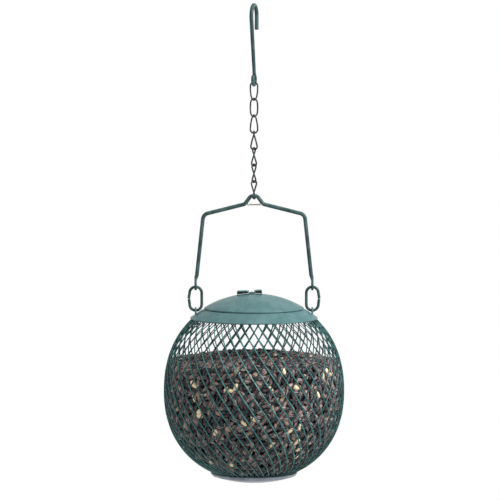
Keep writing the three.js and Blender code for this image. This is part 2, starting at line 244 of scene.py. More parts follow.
class GeoGroup(Graph):
    """A Geometry Nodes group with named inputs that ends in a mesh with one material."""

    def __init__(self, name: str, inputs: dict[str, str]) -> None:
        """Makes an empty group.

        Args:
            name: The group's name.
            inputs: Each input's label and its socket type, such as NodeSocketFloat.
        """
        super().__init__(bpy.data.node_groups.new(name, "GeometryNodeTree"))
        face = self.tree.interface
        face.new_socket(name="Geometry", in_out="INPUT", socket_type="NodeSocketGeometry")
        for label, kind in {**inputs, "Finish": "NodeSocketMaterial"}.items():
            face.new_socket(name=label, in_out="INPUT", socket_type=kind)
        face.new_socket(name="Geometry", in_out="OUTPUT", socket_type="NodeSocketGeometry")
        self.source = self.tree.nodes.new("NodeGroupInput")
        self.sink = self.tree.nodes.new("NodeGroupOutput")

    def given(self, label: str) -> Sock:
        """Returns one of the group's own inputs."""
        return Sock(self, self.source.outputs[label])

    def position(self) -> Sock:
        """Returns the position field."""
        return self.node("GeometryNodeInputPosition")

    def attribute(self, name: str, kind: str = "FLOAT") -> Sock:
        """Returns a named attribute as a field."""
        return self.node("GeometryNodeInputNamedAttribute", {"data_type": kind}, {"Name": name})

    def moved(self, geometry: Sock, position: Sock) -> Sock:
        """Returns the geometry with its points at a position field."""
        return self.node(
            "GeometryNodeSetPosition", None, {"Geometry": geometry, "Position": position}
        )

    def turned(self, vector: Sock, angle: Any) -> Sock:
        """Returns a vector turned about Z by an angle in radians."""
        inputs = {"Vector": vector, "Angle": angle}
        return self.node("ShaderNodeVectorRotate", {"rotation_type": "Z_AXIS"}, inputs)

    def stored(self, geometry: Sock, name: str, value: Sock, kind: str, domain: str) -> Sock:
        """Returns the geometry with a named attribute added."""
        return self.node(
            "GeometryNodeStoreNamedAttribute",
            {"data_type": kind, "domain": domain},
            {"Geometry": geometry, "Name": name, "Value": value},
        )

    def random(self, low: float, high: float, seed: Any) -> Sock:
        """Returns a random number for each element."""
        return self.node(
            "FunctionNodeRandomValue", {"data_type": "FLOAT"}, {2: low, 3: high, 8: seed}, 1
        )

    def finish(self, geometry: Sock, smooth: bool) -> bpy.types.NodeTree:
        """Ends the group.

        Args:
            geometry: What the group has made.
            smooth: Whether its faces are shaded smooth.

        Returns:
            The finished tree.
        """
        real = self.node("GeometryNodeRealizeInstances", None, {"Geometry": geometry})
        shaded = self.node(
            "GeometryNodeSetShadeSmooth", None, {"Geometry": real, "Shade Smooth": smooth}
        )
        dressed = self.node(
            "GeometryNodeSetMaterial", None, {"Geometry": shaded, "Material": self.given("Finish")}
        )
        self.tree.links.new(dressed.socket, self.sink.inputs["Geometry"])
        return self.tree


def rgba(colour: Any) -> Any:
    """Returns an RGB colour with alpha 1, and a Sock as it is."""
    return colour if isinstance(colour, Sock) else (*colour, 1.0)


# ---- Finishes ----


@dataclass(frozen=True)
class Enamel:
    """Grey-green enamel on metal, streaked by hand dipping, with small worn spots.

    Attributes:
        name: The material's name.
        slot: The record's material slot; not used.
        light: The paint's thin, pale colour.
        deep: The paint's thick, dark colour.
        metal: The metal that shows where the paint is worn.
        gloss: The paint's own roughness.
        wear: How much of the surface is worn, from 0 to 1.
        patch: The size of the paint's broad patches, in metres.
    """

    name: str
    slot: str
    light: tuple[float, float, float]
    deep: tuple[float, float, float]
    metal: tuple[float, float, float] = (0.16, 0.15, 0.14)
    gloss: float = 0.4
    wear: float = 0.25
    patch: float = 0.018

    def material(self) -> bpy.types.Material:
        """Returns the enamel's material."""
        g = ShaderGraph(self.name)
        place = g.place()
        patches = g.noise(place, 1 / self.patch, 4.0)
        grain = g.noise(place, 9 / self.patch, 2.0)
        stretch = g.node("ShaderNodeMapping", None, {"Vector": place, "Scale": (1.0, 1.0, 0.12)})
        runs = g.noise(stretch, 3.2 / self.patch, 3.0)
        tone = g.smooth(patches * 0.55 + runs * 0.45, 0.36, 0.64)
        paint = g.mix(tone, self.deep, self.light)
        worn = g.smooth(grain * 0.6 + patches * 0.4, 0.66 - 0.1 * self.wear, 0.7 - 0.1 * self.wear)
        colour = g.mix(worn, paint, self.metal)
        peel = g.noise(place, 1400.0, 2.0)
        height = peel * 0.5 + runs - worn * 0.8
        rough = g.smooth(grain, 0.2, 0.8, self.gloss - 0.06, self.gloss + 0.1) + worn * 0.12
        return g.surface(
            Base_Color=colour,
            Roughness=rough,
            Metallic=worn * 0.7,
            Coat_Weight=0.03,
            Coat_Roughness=0.25,
            Specular_IOR_Level=0.15,
            Normal=g.bump(height, 0.00008, 0.6),
        )


@dataclass(frozen=True)
class BareWire:
    """Drawn steel wire with brown stain.

    Attributes:
        name: The material's name.
        slot: The record's material slot; not used.
    """

    name: str
    slot: str

    def material(self) -> bpy.types.Material:
        """Returns the bare wire's material."""
        g = ShaderGraph(self.name)
        place = g.place()
        stain = g.smooth(g.noise(place, 260.0, 4.0), 0.4, 0.62)
        fine = g.noise(place, 2600.0, 2.0)
        colour = g.mix(stain, (0.34, 0.33, 0.31), (0.17, 0.115, 0.075))
        return g.surface(
            Base_Color=g.mix(fine * 0.35, colour, (0.08, 0.07, 0.06)),
            Roughness=g.smooth(stain, 0.0, 1.0, 0.34, 0.66),
            Metallic=1.0 - stain * 0.75,
            Normal=g.bump(fine, 0.00004, 0.5),
        )


@dataclass(frozen=True)
class SeedHull:
    """Dry sunflower hulls: striped black shells, brown ones, and a few pale broken kernels.

    Attributes:
        name: The material's name.
        slot: The record's material slot; not used.
    """

    name: str
    slot: str

    def material(self) -> bpy.types.Material:
        """Returns the hulls' material, which reads each seed's tone and grain attributes."""
        g = ShaderGraph(self.name)
        tone = g.node("ShaderNodeAttribute", {"attribute_name": "tone"}, out="Fac")
        grain = g.node("ShaderNodeAttribute", {"attribute_name": "grain"}, out="Vector")
        across, side, along = g.split(grain)
        around = across.math("ARCTAN2", across, side)
        stripes = (around * 7.0 + tone * 40.0).math("SINE", around * 7.0 + tone * 40.0)
        fleck = g.noise(g.place(), 900.0, 3.0)
        striped = g.smooth(stripes + fleck * 0.7, 0.75, 1.2) * g.smooth(tone, 0.25, 0.6)
        hull = g.node(
            "ShaderNodeValToRGB",
            {
                "stops": [
                    (0.0, (0.006, 0.005, 0.008)),
                    (0.35, (0.014, 0.009, 0.013)),
                    (0.6, (0.046, 0.024, 0.033)),
                    (0.8, (0.105, 0.058, 0.052)),
                    (0.97, (0.20, 0.135, 0.095)),
                ]
            },
            {"Fac": tone},
        )
        marked = g.mix(striped * 0.75, hull, (0.32, 0.27, 0.26))
        kernel = g.smooth(tone, 0.98, 0.982)
        colour = g.mix(kernel, marked, (0.62, 0.50, 0.33))
        tipped = g.mix(g.smooth(along, 0.72, 1.0) * 0.5, colour, (0.26, 0.2, 0.15))
        height = stripes * 0.4 + fleck
        return g.surface(
            Base_Color=tipped,
            Roughness=g.smooth(fleck, 0.3, 0.7, 0.34, 0.6),
            Normal=g.bump(height, 0.00018, 0.7),
        )


@dataclass(frozen=True)
class StudioPaper:
    """Plain pale paper for the studio floor.

    Attributes:
        name: The material's name.
        shade: How pale it is.
    """

    name: str
    shade: float

    def material(self) -> bpy.types.Material:
        """Returns the paper's material."""
        g = ShaderGraph(self.name)
        return g.surface(Base_Color=(self.shade, self.shade, self.shade, 1.0), Roughness=0.95)


class Coat(Enum):
    """The feeder's finishes."""

    GREEN = Enamel("green_enamel", "green_paint", (0.060, 0.121, 0.126), (0.038, 0.094, 0.096))
    FRAME = Enamel(
        "frame_enamel", "green_paint", (0.040, 0.076, 0.074), (0.014, 0.036, 0.034), patch=0.009
    )
    # Lit and shaded copies of one lattice paint: the strands that lean one way are painted lighter,
    # a painted highlight for the key light they would catch, and the others darker, as painted
    # shade.
    LATTICE = Enamel(
        "painted_lit_lattice_enamel", "mesh_paint", (0.045, 0.135, 0.130), (0.018, 0.070, 0.068), patch=0.012
    )
    SHADED = Enamel(
        "painted_shade_lattice_enamel", "mesh_paint", (0.020, 0.060, 0.058), (0.005, 0.018, 0.018), patch=0.012
    )
    CHAIN = Enamel(
        "chain_coating", "chain_paint", (0.030, 0.044, 0.042), (0.012, 0.018, 0.017),
        wear=0.8, patch=0.006,
    )
    DISH = Enamel(
        "dish_enamel", "dish_paint", (0.20, 0.22, 0.25), (0.10, 0.12, 0.15), gloss=0.3, patch=0.03
    )
    WIRE = BareWire("bare_wire", "bare_wire")
    HULL = SeedHull("sunflower_hull", "seed_hull")

    def cloth(self) -> bpy.types.Material:
        """Returns the finish's material, made on first use."""
        found = bpy.data.materials.get(self.value.name)
        return found or self.value.material()


# ---- Mesh helpers ----


def signed_volume(mesh: bpy.types.Mesh) -> float:
    """Returns a closed mesh's volume, negative when its faces point inwards."""
    mesh.calc_loop_triangles()
    corners = np.zeros(len(mesh.loop_triangles) * 3, np.int32)
    mesh.loop_triangles.foreach_get("vertices", corners)
    places = np.zeros(len(mesh.vertices) * 3, np.float32)
    mesh.vertices.foreach_get("co", places)
    a, b, c = places.reshape(-1, 3)[corners.reshape(-1, 3)].transpose(1, 0, 2)
    return float(np.einsum("ij,ij->i", a, np.cross(b, c)).sum() / 6)


def mesh_object(
    name: str,
    points: np.ndarray,
    faces: Sequence[Sequence[int]],
    finish: Coat,
    crease: float = 35.0,
) -> bpy.types.Object:
    """Makes a closed mesh object with its faces pointing outwards.

    Args:
        name: The object's name.
        points: Its vertices, one row each.
        faces: Its faces, as vertex numbers.
        finish: Its finish.
        crease: Edges sharper than this many degrees stay sharp.

    Returns:
        The new object, linked to the scene.
    """
    mesh = bpy.data.meshes.new(name)
    mesh.from_pydata(np.asarray(points, float).tolist(), [], faces)
    if signed_volume(mesh) < 0:
        mesh.flip_normals()
    mesh.shade_smooth()
    mesh.set_sharp_from_angle(angle=math.radians(crease))
    mesh.materials.append(finish.cloth())
    made = bpy.data.objects.new(name, mesh)
    bpy.context.scene.collection.objects.link(made)
    return made


def thread(
    name: str,
    points: np.ndarray,
    girth: Optional[np.ndarray] = None,
    facing: Optional[np.ndarray] = None,
) -> bpy.types.Object:
    """Makes a carrier: a chain of edges that a node group sweeps along.

    Args:
        name: The object's name.
        points: The route, one row for each point.
        girth: The wire's relative thickness at each point.
        facing: The direction that the wire's section faces at each point.

    Returns:
        The carrier, not linked to the scene.
    """
    count = len(points)
    edges = [(i, i + 1) for i in range(count - 1)]
    mesh = bpy.data.meshes.new(name)
    mesh.from_pydata(np.asarray(points, float).tolist(), edges, [])
    layer = mesh.attributes.new("girth", "FLOAT", "POINT")
    shares = np.ones(count) if girth is None else girth
    layer.data.foreach_set("value", np.asarray(shares, np.float32))
    if facing is not None:
        layer = mesh.attributes.new("facing", "FLOAT_VECTOR", "POINT")
        layer.data.foreach_set("vector", np.asarray(facing, np.float32).ravel())
    return bpy.data.objects.new(name, mesh)


def grown(
    name: str, carrier: bpy.types.Object, group: bpy.types.NodeTree, **values: Any
) -> bpy.types.Object:
    """Runs a node group on a carrier and keeps the result as a plain mesh.

    Args:
        name: The new object's name.
        carrier: The object that the group starts from, which is removed.
        group: The node group.
        **values: Its inputs, with _ for a space.

    Returns:
        The new object, linked to the scene.
    """
    modifier = carrier.modifiers.new(group.name, "NODES")
    modifier.node_group = group
    wanted = {key.replace("_", " "): value for key, value in values.items()}
    for item in group.interface.items_tree:
        if item.item_type == "SOCKET" and item.in_out == "INPUT" and item.name in wanted:
            modifier[item.identifier] = wanted[item.name]
    bpy.context.scene.collection.objects.link(carrier)
    graph = bpy.context.evaluated_depsgraph_get()
    mesh = bpy.data.meshes.new_from_object(
        carrier.evaluated_get(graph), preserve_all_data_layers=True, depsgraph=graph
    )
    bpy.data.objects.remove(carrier)
    if signed_volume(mesh) < 0:
        mesh.flip_normals()
    mesh.name = name
    made = bpy.data.objects.new(name, mesh)
    bpy.context.scene.collection.objects.link(made)
    return made


def settle(piece: bpy.types.Object, body: str, finish: Coat, nodes: Sequence[str] = ()) -> None:
    """Gives a finished piece its body and the CAD nodes that it stands for.

    Args:
        piece: The finished mesh object.
        body: The body that it moves with.
        finish: Its finish; not used.
        nodes: The CAD nodes that it replaces.
    """
    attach(piece, body)
    if nodes:
        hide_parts(*nodes)
    triangles = sum(len(p.vertices) - 2 for p in piece.data.polygons)
    LOG.info("%s: %d triangles on %s", piece.name, triangles, body)


def arc(centre: Sequence[float], radius: float, start: float, end: float, count: int) -> np.ndarray:
    """Returns points of an arc in a plane, its angles in degrees."""
    angles = np.radians(np.linspace(start, end, count))
    return np.asarray(centre) + radius * np.column_stack([np.cos(angles), np.sin(angles)])


def bent(corners: Sequence[Sequence[float]], step: float = 6.0) -> np.ndarray:
    """Returns a path of straight runs joined by arcs.

    Args:
        corners: Points of the plane, each with its bend radius, which is 0 at a sharp corner.
        step: Degrees turned between two points of an arc.

    Returns:
        The path's points.
    """
    points: list[np.ndarray] = []
    places = [np.array(c[:2], float) for c in corners]
    for i, (here, (_, _, bend)) in enumerate(zip(places, corners)):
        if not bend:
            points.append(here)
            continue
        into = (here - places[i - 1]) / np.linalg.norm(here - places[i - 1])
        away = (places[i + 1] - here) / np.linalg.norm(places[i + 1] - here)
        turn = math.atan2(into[0] * away[1] - into[1] * away[0], into @ away)
        start = here - into * bend * math.tan(abs(turn) / 2)
        centre = start + np.array([-into[1], into[0]]) * math.copysign(bend, turn)
        count = max(3, math.ceil(abs(math.degrees(turn)) / step) + 1)
        first = math.degrees(math.atan2(*(start - centre)[::-1]))
        points.extend(arc(centre, bend, first, first + math.degrees(turn), count))
    return np.array(points)


def evened(path: np.ndarray, spacing: float) -> np.ndarray:
    """Returns a path with its long runs divided, so that no step is over spacing."""
    points = [path[0]]
    for a, b in zip(path[:-1], path[1:]):
        count = max(1, math.ceil(np.linalg.norm(b - a) / spacing))
        points.extend(a + (b - a) * (k + 1) / count for k in range(count))
    return np.array(points)


def upright(path: np.ndarray, heading: float = 0.0) -> np.ndarray:
    """Returns a plane path stood up in space, with its plane turned to a heading in degrees."""
    a = math.radians(heading)
    return np.column_stack([path[:, 0] * math.cos(a), path[:, 0] * math.sin(a), path[:, 1]])


def half_thickness(path: np.ndarray, thick: float) -> np.ndarray:
    """Returns the step from each point of a sheet's middle line to its left face."""
    runs = np.diff(path, axis=0)
    runs /= np.linalg.norm(runs, axis=1)[:, None]
    along = np.vstack([runs[:1], runs[:-1] + runs[1:], runs[-1:]])
    along /= np.linalg.norm(along, axis=1)[:, None]
    return np.column_stack([-along[:, 1], along[:, 0]]) * thick / 2


def sheet_outline(path: np.ndarray, thick: float) -> np.ndarray:
    """Returns the closed outline of bent sheet, with round edges.

    Args:
        path: The middle line of its section, as radius and height.
        thick: The sheet's thickness.

    Returns:
        The outline's points, without its first repeated.
    """
    normal = half_thickness(path, thick)
    left, right = path + normal, (path - normal)[::-1]

    def round_edge(centre: np.ndarray, start: np.ndarray) -> np.ndarray:
        """Returns the half circle that rounds one edge of the sheet."""
        if centre[0] < thick:
            return np.empty((0, 2))
        first = math.degrees(math.atan2(start[1], start[0]))
        return arc(centre, thick / 2, first, first - 180, 7)[1:-1]

    far, near = round_edge(path[-1], normal[-1]), round_edge(path[0], -normal[0])
    return np.vstack([left, far, right, near])


def turned(name: str, outline: np.ndarray, finish: Coat, sides: int = 144) -> bpy.types.Object:
    """Makes a solid of revolution about Z.

    Args:
        name: The object's name.
        outline: The section's closed outline, as radius and height.
        finish: Its finish.
        sides: Steps round the axis.

    Returns:
        The new object.
    """
    points: list[tuple[float, float, float]] = []
    rings: list[list[int]] = []
    angles = np.arange(sides) * 2 * math.pi / sides
    for r, z in outline:
        if r < 1e-6:
            rings.append([len(points)])
            points.append((0.0, 0.0, z))
        else:
            rings.append(list(range(len(points), len(points) + sides)))
            points.extend((r * math.cos(a), r * math.sin(a), z) for a in angles)
    faces: list[list[int]] = []
    for low, high in zip(rings, rings[1:] + rings[:1]):
        if len(low) == 1 and len(high) == 1:
            continue
        for k in range(sides):
            n = (k + 1) % sides
            if len(low) == 1:
                faces.append([low[0], high[n], high[k]])
            elif len(high) == 1:
                faces.append([low[k], low[n], high[0]])
            else:
                faces.append([low[k], low[n], high[n], high[k]])
    return mesh_object(name, np.array(points), faces, finish)


def circle(radius: float, count: int) -> np.ndarray:
    """Returns points round a circle in a plane."""
    angles = np.arange(count) * 2 * math.pi / count
    return np.column_stack([np.cos(angles), np.sin(angles)]) * radius


def ring_plate(
    name: str,
    edge: np.ndarray,
    hole: np.ndarray,
    thick: float,
    place: Callable[[np.ndarray, float], np.ndarray],
    finish: Coat,
    soften: float,
) -> bpy.types.Object:
    """Makes a flat plate with one hole and softened edges.

    Args:
        name: The object's name.
        edge: Its outer outline, with as many points as the hole and starting at the same angle.
        hole: The hole's outline.
        thick: The plate's thickness.
        place: Puts plane points into space at a height through the plate.
        finish: Its finish.
        soften: The radius of its rounded edges.

    Returns:
        The new object.
    """
    count = len(edge)
    middle_out, middle_in = edge.mean(0), hole.mean(0)
    shrink = 1 - soften / np.linalg.norm(edge - middle_out, axis=1)[:, None]
    grow = 1 + soften / np.linalg.norm(hole - middle_in, axis=1)[:, None]
    edge_in = middle_out + (edge - middle_out) * shrink
    hole_out = middle_in + (hole - middle_in) * grow
    half = thick / 2
    loops = [
        place(edge, half - soften),
        place(edge_in, half),
        place(hole_out, half),
        place(hole, half - soften),
        place(hole, soften - half),
        place(hole_out, -half),
        place(edge_in, -half),
        place(edge, soften - half),
    ]
    faces = []
    for i in range(len(loops)):
        low, high = i * count, ((i + 1) % len(loops)) * count
        for k in range(count):
            n = (k + 1) % count
            faces.append([low + k, low + n, high + n, high + k])
    return mesh_object(name, np.vstack(loops), faces, finish, crease=50.0)


def fused(
    name: str, parts: Sequence[bpy.types.Object], voxel: float, passes: int
) -> bpy.types.Object:
    """Welds overlapping parts into one skin.

    Args:
        name: The new object's name.
        parts: The parts, which are removed.
        voxel: The size of the welding grid's cells.
        passes: How often the skin is relaxed.

    Returns:
        The new object, with the first part's material.
    """
    places, faces, base = [], [], 0
    for part in parts:
        places.extend(tuple(v.co) for v in part.data.vertices)
        faces.extend([base + i for i in p.vertices] for p in part.data.polygons)
        base += len(part.data.vertices)
    material = parts[0].data.materials[0]
    mesh = bpy.data.meshes.new(name)
    mesh.from_pydata(places, [], faces)
    made = bpy.data.objects.new(name, mesh)
    remesh = made.modifiers.new("weld", "REMESH")
    remesh.mode = "VOXEL"
    remesh.voxel_size = voxel
    smooth = made.modifiers.new("smooth", "LAPLACIANSMOOTH")
    smooth.iterations = passes
    smooth.lambda_factor = 0.6
    bpy.context.scene.collection.objects.link(made)
    graph = bpy.context.evaluated_depsgraph_get()
    skin = bpy.data.meshes.new_from_object(made.evaluated_get(graph), depsgraph=graph)
    for part in [*parts, made]:
        bpy.data.objects.remove(part)
    skin.name = name
    skin.materials.clear()
    skin.materials.append(material)
    skin.shade_smooth()
    if signed_volume(skin) < 0:
        skin.flip_normals()
    result = bpy.data.objects.new(name, skin)
    bpy.context.scene.collection.objects.link(result)
    return result


def swept_wire_group() -> bpy.types.NodeTree:
    """Returns the group that draws round wire along a carrier, thick or thin by its girth."""
    g = GeoGroup("swept_wire", {"Wire Radius": "NodeSocketFloat", "Sides": "NodeSocketInt"})
    route = g.node("GeometryNodeMeshToCurve", None, {"Mesh": g.given("Geometry")})
    section = g.node(
        "GeometryNodeCurvePrimitiveCircle",
        None,
        {"Resolution": g.given("Sides"), "Radius": g.given("Wire Radius")},
    )
    wire = g.node(
        "GeometryNodeCurveToMesh",
        None,
        {
            "Curve": route,
            "Profile Curve": section,
            "Scale": g.attribute("girth"),
            "Fill Caps": True,
        },
    )
    return g.finish(wire, smooth=True)


def twisted_link_group() -> bpy.types.NodeTree:
    """Returns the group that bends one chain link, an oval of wire with an even twist."""
    g = GeoGroup(
        "twisted_link",
        {
            "Wire Radius": "NodeSocketFloat",
            "Width": "NodeSocketFloat",
            "Length": "NodeSocketFloat",
            "Twist": "NodeSocketFloat",
            "Heading": "NodeSocketFloat",
            "Middle Height": "NodeSocketFloat",
        },
    )
    bend = g.given("Width") * 0.5
    straight = g.given("Length") * 0.5 - bend
    hoop = g.node("GeometryNodeCurvePrimitiveCircle", None, {"Resolution": 64, "Radius": bend})
    x, y, _ = g.split(g.position())
    oval = g.moved(hoop, g.xyz(x, 0.0, y + straight * y.math("SIGN", y)))
    even = g.node("GeometryNodeResampleCurve", None, {"Curve": oval, "Count": 110})
    across, _, height = g.split(g.position())
    angle = g.given("Heading") - g.given("Twist") * height / g.given("Length")
    lifted = g.xyz(across, 0.0, height + g.given("Middle Height"))
    twisted = g.moved(even, g.turned(lifted, angle))
    section = g.node(
        "GeometryNodeCurvePrimitiveCircle",
        None,
        {"Resolution": 12, "Radius": g.given("Wire Radius")},
    )
    wire = g.node(
        "GeometryNodeCurveToMesh", None, {"Curve": twisted, "Profile Curve": section, "Scale": 1.0}
    )
    return g.finish(wire, smooth=True)


# ---- Hanger: hook, chain, bail and side links ----


@dataclass
class Hanger:
    """The wirework that carries the basket.

    Attributes:
        hook_wire: Radius of the hook's wire.
        crook: Radius of the crook, on the wire's middle line.
        tip_height: Height of the hook's tip.
        hook_eye: Radius of the hook's closed eye, on the wire's middle line.
        hook_neck: Height of the shank's foot over the middle of the eye.
        hook_heading: Heading of the hook's plane, in degrees.
        chain_wire: Radius of the chain's wire.
        chain_width: Width of a link, on the wire's middle line.
        link_twist: How far a link turns from its top to its bottom, in degrees.
        link_headings: Heading of each link's middle, from the top one down, in degrees.
        bail_wire: Radius of the bail's wire.
        crown_half: Half width of the level top of the bail's bump.
        bump_half: Half width of the bump at its foot.
        bump_drop: Height of the bump.
        crown_worn: How much thinner the wire is where the chain hangs, as a share.
        crown_reach: How far from the middle it is thinner.
        crossbar_wire: Radius of the bar under the bump.
        shoulder: Distance of the bail's shoulders from its middle.
        arm_slope: How far the bail's arms drop below level, in degrees.
        elbow: Distance of the bail's elbows from its middle, and their height.
        end_x: Distance of the legs' pierced ends from the bail's middle.
        end_radius: Radius of a pierced end.
        end_bore: Radius of its hole.
        end_thick: Its thickness.
        side_wire: Radius of the side links' wire.
        side_width: Width of a side link, on the wire's middle line.
        side_bow: How far a side link's outer side bulges where its ends meet.
        seam: Gap where a side link's ends meet.
        wire_group: The group that draws wire.
    """

    hook_wire: float = 2.0 * MM
    crook: float = 11 * MM
    tip_height: float = -22.8 * MM
    hook_eye: float = 5.05 * MM
    hook_neck: float = 10.6 * MM
    hook_heading: float = 76.0
    chain_wire: float = 0.82 * MM
    chain_width: float = 7.3 * MM
    link_twist: float = 90.0
    link_headings: tuple[float, ...] = (15.0, -1.0, -27.0, -60.0, -80.0, -92.0, -104.0)
    bail_wire: float = 2 * MM
    crown_half: float = 3.2 * MM
    bump_half: float = 9.3 * MM
    bump_drop: float = 8.2 * MM
    crown_worn: float = 0.08
    crown_reach: float = 4.5 * MM
    crossbar_wire: float = 0.72 * MM
    shoulder: float = 50.6 * MM
    arm_slope: float = 14.0
    elbow: tuple[float, float] = (57.2 * MM, -268 * MM)
    end_x: float = 58.4 * MM
    end_radius: float = 4.4 * MM
    end_bore: float = 2.4 * MM
    end_thick: float = 2.5 * MM
    side_wire: float = 1.45 * MM
    side_width: float = 12.1 * MM
    side_bow: float = 0.9 * MM
    seam: float = 0.35 * MM
    wire_group: bpy.types.NodeTree = field(default_factory=swept_wire_group)

    def build(self) -> None:
        """Builds and settles every piece of the hanger."""
        settle(self.hook(), "hook", Coat.FRAME, ["hanging_hook"])
        link_group = twisted_link_group()
        for i, heading in enumerate(self.link_headings, 1):
            name = f"chain_link_{i}"
            settle(self.chain_link(name, heading, link_group), name, Coat.CHAIN, [name])
        settle(self.bail(), "bail", Coat.FRAME, ["bail_handle"])
        settle(self.crossbar(), "bail", Coat.WIRE, ["bail_crossbar"])
        for side, name in ((-1, "side_link_left"), (1, "side_link_right")):
            settle(self.side_link(side, name), name, Coat.FRAME, [name])

    def wire(
        self,
        name: str,
        route: np.ndarray,
        radius: float,
        finish: Coat,
        girth: np.ndarray,
        sides: int = 20,
    ) -> bpy.types.Object:
        """Returns round wire along a route in space.

        Args:
            name: The new object's name.
            route: The wire's middle line.
            radius: The wire's radius.
            finish: Its finish.
            girth: Its relative thickness at each point.
            sides: Steps round the wire.

        Returns:
            The new object.
        """
        return grown(
            name, thread(name, route, girth), self.wire_group,
            Wire_Radius=radius, Sides=sides, Finish=finish.cloth(),
        )

    def hook(self) -> bpy.types.Object:
        """Returns the hook: a crook, a leaning shank and a closed eye, bent from one wire."""
        low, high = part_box("hanging_hook")
        eye_mid = np.array([0.0, low.z + self.hook_wire + self.hook_eye])
        foot = eye_mid + [0.0, self.hook_neck]
        centre = np.array([0.0, high.z - self.hook_wire - self.crook])
        lean = math.degrees(math.asin(self.crook / (centre[1] - foot[1])))
        crook = arc(centre, self.crook, 0.0, 180 + lean, 44)
        eye = arc(eye_mid, self.hook_eye, 60.0, -232.0, 52)
        shank = (foot - crook[-1]) / np.linalg.norm(foot - crook[-1])
        run_in = np.array([math.sin(math.radians(60)), -math.cos(math.radians(60))])
        t = np.linspace(0, 1, 12)[:, None]
        p0, p1, p2, p3 = foot, foot + shank * 3 * MM, eye[0] - run_in * 2.4 * MM, eye[0]
        neck = (1 - t) ** 3 * p0 + 3 * (1 - t) ** 2 * t * p1 + 3 * (1 - t) * t**2 * p2 + t**3 * p3
        tip = np.array([[self.crook, self.tip_height + rise * MM] for rise in (0.0, 0.5, 1.2)])
        plane = evened(np.vstack([tip, crook, neck[:-1], eye]), 1.4 * MM)
        neck_share = np.clip((centre[1] - plane[:, 1]) / (centre[1] - foot[1]), 0, 1)
        girth = 1 - 0.12 * neck_share**2
        girth[:3] *= (0.86, 0.98, 1.0)
        girth[-2:] *= (0.97, 0.85)
        route = upright(plane, self.hook_heading)
        return self.wire("hook_wire", route, self.hook_wire, Coat.FRAME, girth)

    def chain_link(self, node: str, heading: float, group: bpy.types.NodeTree) -> bpy.types.Object:
        """Returns the twisted link that stands for a CAD link, at its heading."""
        low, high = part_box(node)
        name = f"twisted_{node}"
        return grown(
            name,
            thread(name, np.zeros((2, 3))),
            group,
            Wire_Radius=self.chain_wire,
            Width=self.chain_width,
            Length=high.z - low.z - 2 * self.chain_wire,
            Twist=math.radians(self.link_twist),
            Heading=math.radians(heading),
            Middle_Height=(high.z + low.z) / 2,
            Finish=Coat.CHAIN.cloth(),
        )

    def bail(self) -> bpy.types.Object:
        """Returns the bail, with its bump, arms, legs and hammered, pierced ends."""
        low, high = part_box("bail_handle")
        top = high.z - self.bail_wire
        end_z = low.z + self.end_radius
        base = top - self.bump_drop
        fall = (self.shoulder - self.bump_half) * math.tan(math.radians(self.arm_slope))
        half = [
            (self.crown_half, top, 3.6 * MM),
            (self.bump_half, base, 4 * MM),
            (self.shoulder, base - fall, 6.5 * MM),
            (*self.elbow, 12 * MM),
            (self.end_x, end_z + self.end_radius + 1 * MM, 0),
        ]
        mirrored = [(-x, z, bend) for x, z, bend in reversed(half)]
        route = evened(bent([*mirrored, *half]), 1.6 * MM)
        reach = np.minimum(np.arange(len(route)), np.arange(len(route))[::-1])
        worn = self.crown_worn * np.exp(-((route[:, 0] / self.crown_reach) ** 4))
        girth = np.clip(0.62 + 0.09 * reach, 0.0, 1.0) - worn
        parts = [self.wire("bail_wire", upright(route), self.bail_wire, Coat.FRAME, girth, 24)]
        for side in (-1, 1):
            parts.append(self.bail_end(side * self.end_x, end_z))
        return fused("bail_bent_wire", parts, 0.4 * MM, 3)

    def bail_end(self, x: float, z: float) -> bpy.types.Object:
        """Returns the flat pierced end of one leg, a drop shape that narrows up into the wire."""
        hole = circle(self.end_bore, RIM_POINTS)
        edge = circle(self.end_radius, RIM_POINTS)
        rise = np.clip(edge[:, 1] / self.end_radius, 0, 1) ** 5
        edge[:, 1] += rise * 6.2 * MM
        edge[:, 0] *= 1 - 0.2 * rise

        def place(plane: np.ndarray, height: float) -> np.ndarray:
            """Returns plate points stood up across X."""
            return np.column_stack([np.full(len(plane), x + height), plane[:, 0], plane[:, 1] + z])

        return ring_plate("bail_end", edge, hole, self.end_thick, place, Coat.FRAME, 0.5 * MM)

    def crossbar(self) -> bpy.types.Object:
        """Returns the thin bar under the bail's bump, with a weld bead at each end."""
        low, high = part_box("bail_crossbar")
        z = (low.z + high.z) / 2
        reach = high.x + 0.7 * MM
        xs = np.linspace(-reach, reach, 48)
        edge = reach - np.abs(xs)
        girth = 1 + 0.5 * np.exp(-(((edge - 0.7 * MM) / (0.6 * MM)) ** 2))
        route = np.column_stack([xs, np.zeros_like(xs), np.full_like(xs, z)])
        return self.wire("bump_crossbar", route, self.crossbar_wire, Coat.WIRE, girth, 14)

    def side_link(self, side: int, name: str) -> bpy.types.Object:
        """Returns a side link: an oval bent by hand, whose ends meet halfway up its outer side."""
        low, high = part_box(name)
        middle_x, middle_z = (low.x + high.x) / 2, (low.z + high.z) / 2
        bend = self.side_width / 2
        straight = (high.z - low.z) / 2 - self.side_wire - bend
        upper = arc((0.0, straight), bend, 0.0, 180.0, 30)
        lower = arc((0.0, -straight), bend, 180.0, 360.0, 30)
        inner_side = evened(np.array([lower[-1], upper[0]]), 1.2 * MM)[1:-1]
        seam_top = np.array([-bend - self.side_bow, self.seam / 2])
        seam_low = np.array([-bend - self.side_bow + 0.25 * MM, -self.seam / 2])
        down = evened(np.vstack([upper[-1:], [seam_top]]), 1.2 * MM)[1:]
        up = evened(np.vstack([[seam_low], lower[:1]]), 1.2 * MM)[:-1]
        plane = np.vstack([up, lower, inner_side, upper, down])
        girth = np.ones(len(plane))
        girth[0] = girth[-1] = 0.86
        route = upright(plane * [-side, 1.0]) + [middle_x, 0.0, middle_z]
        return self.wire(f"{name}_wire", route, self.side_wire, Coat.FRAME, girth, 18)


# ---- The ball and what is bent to it ----


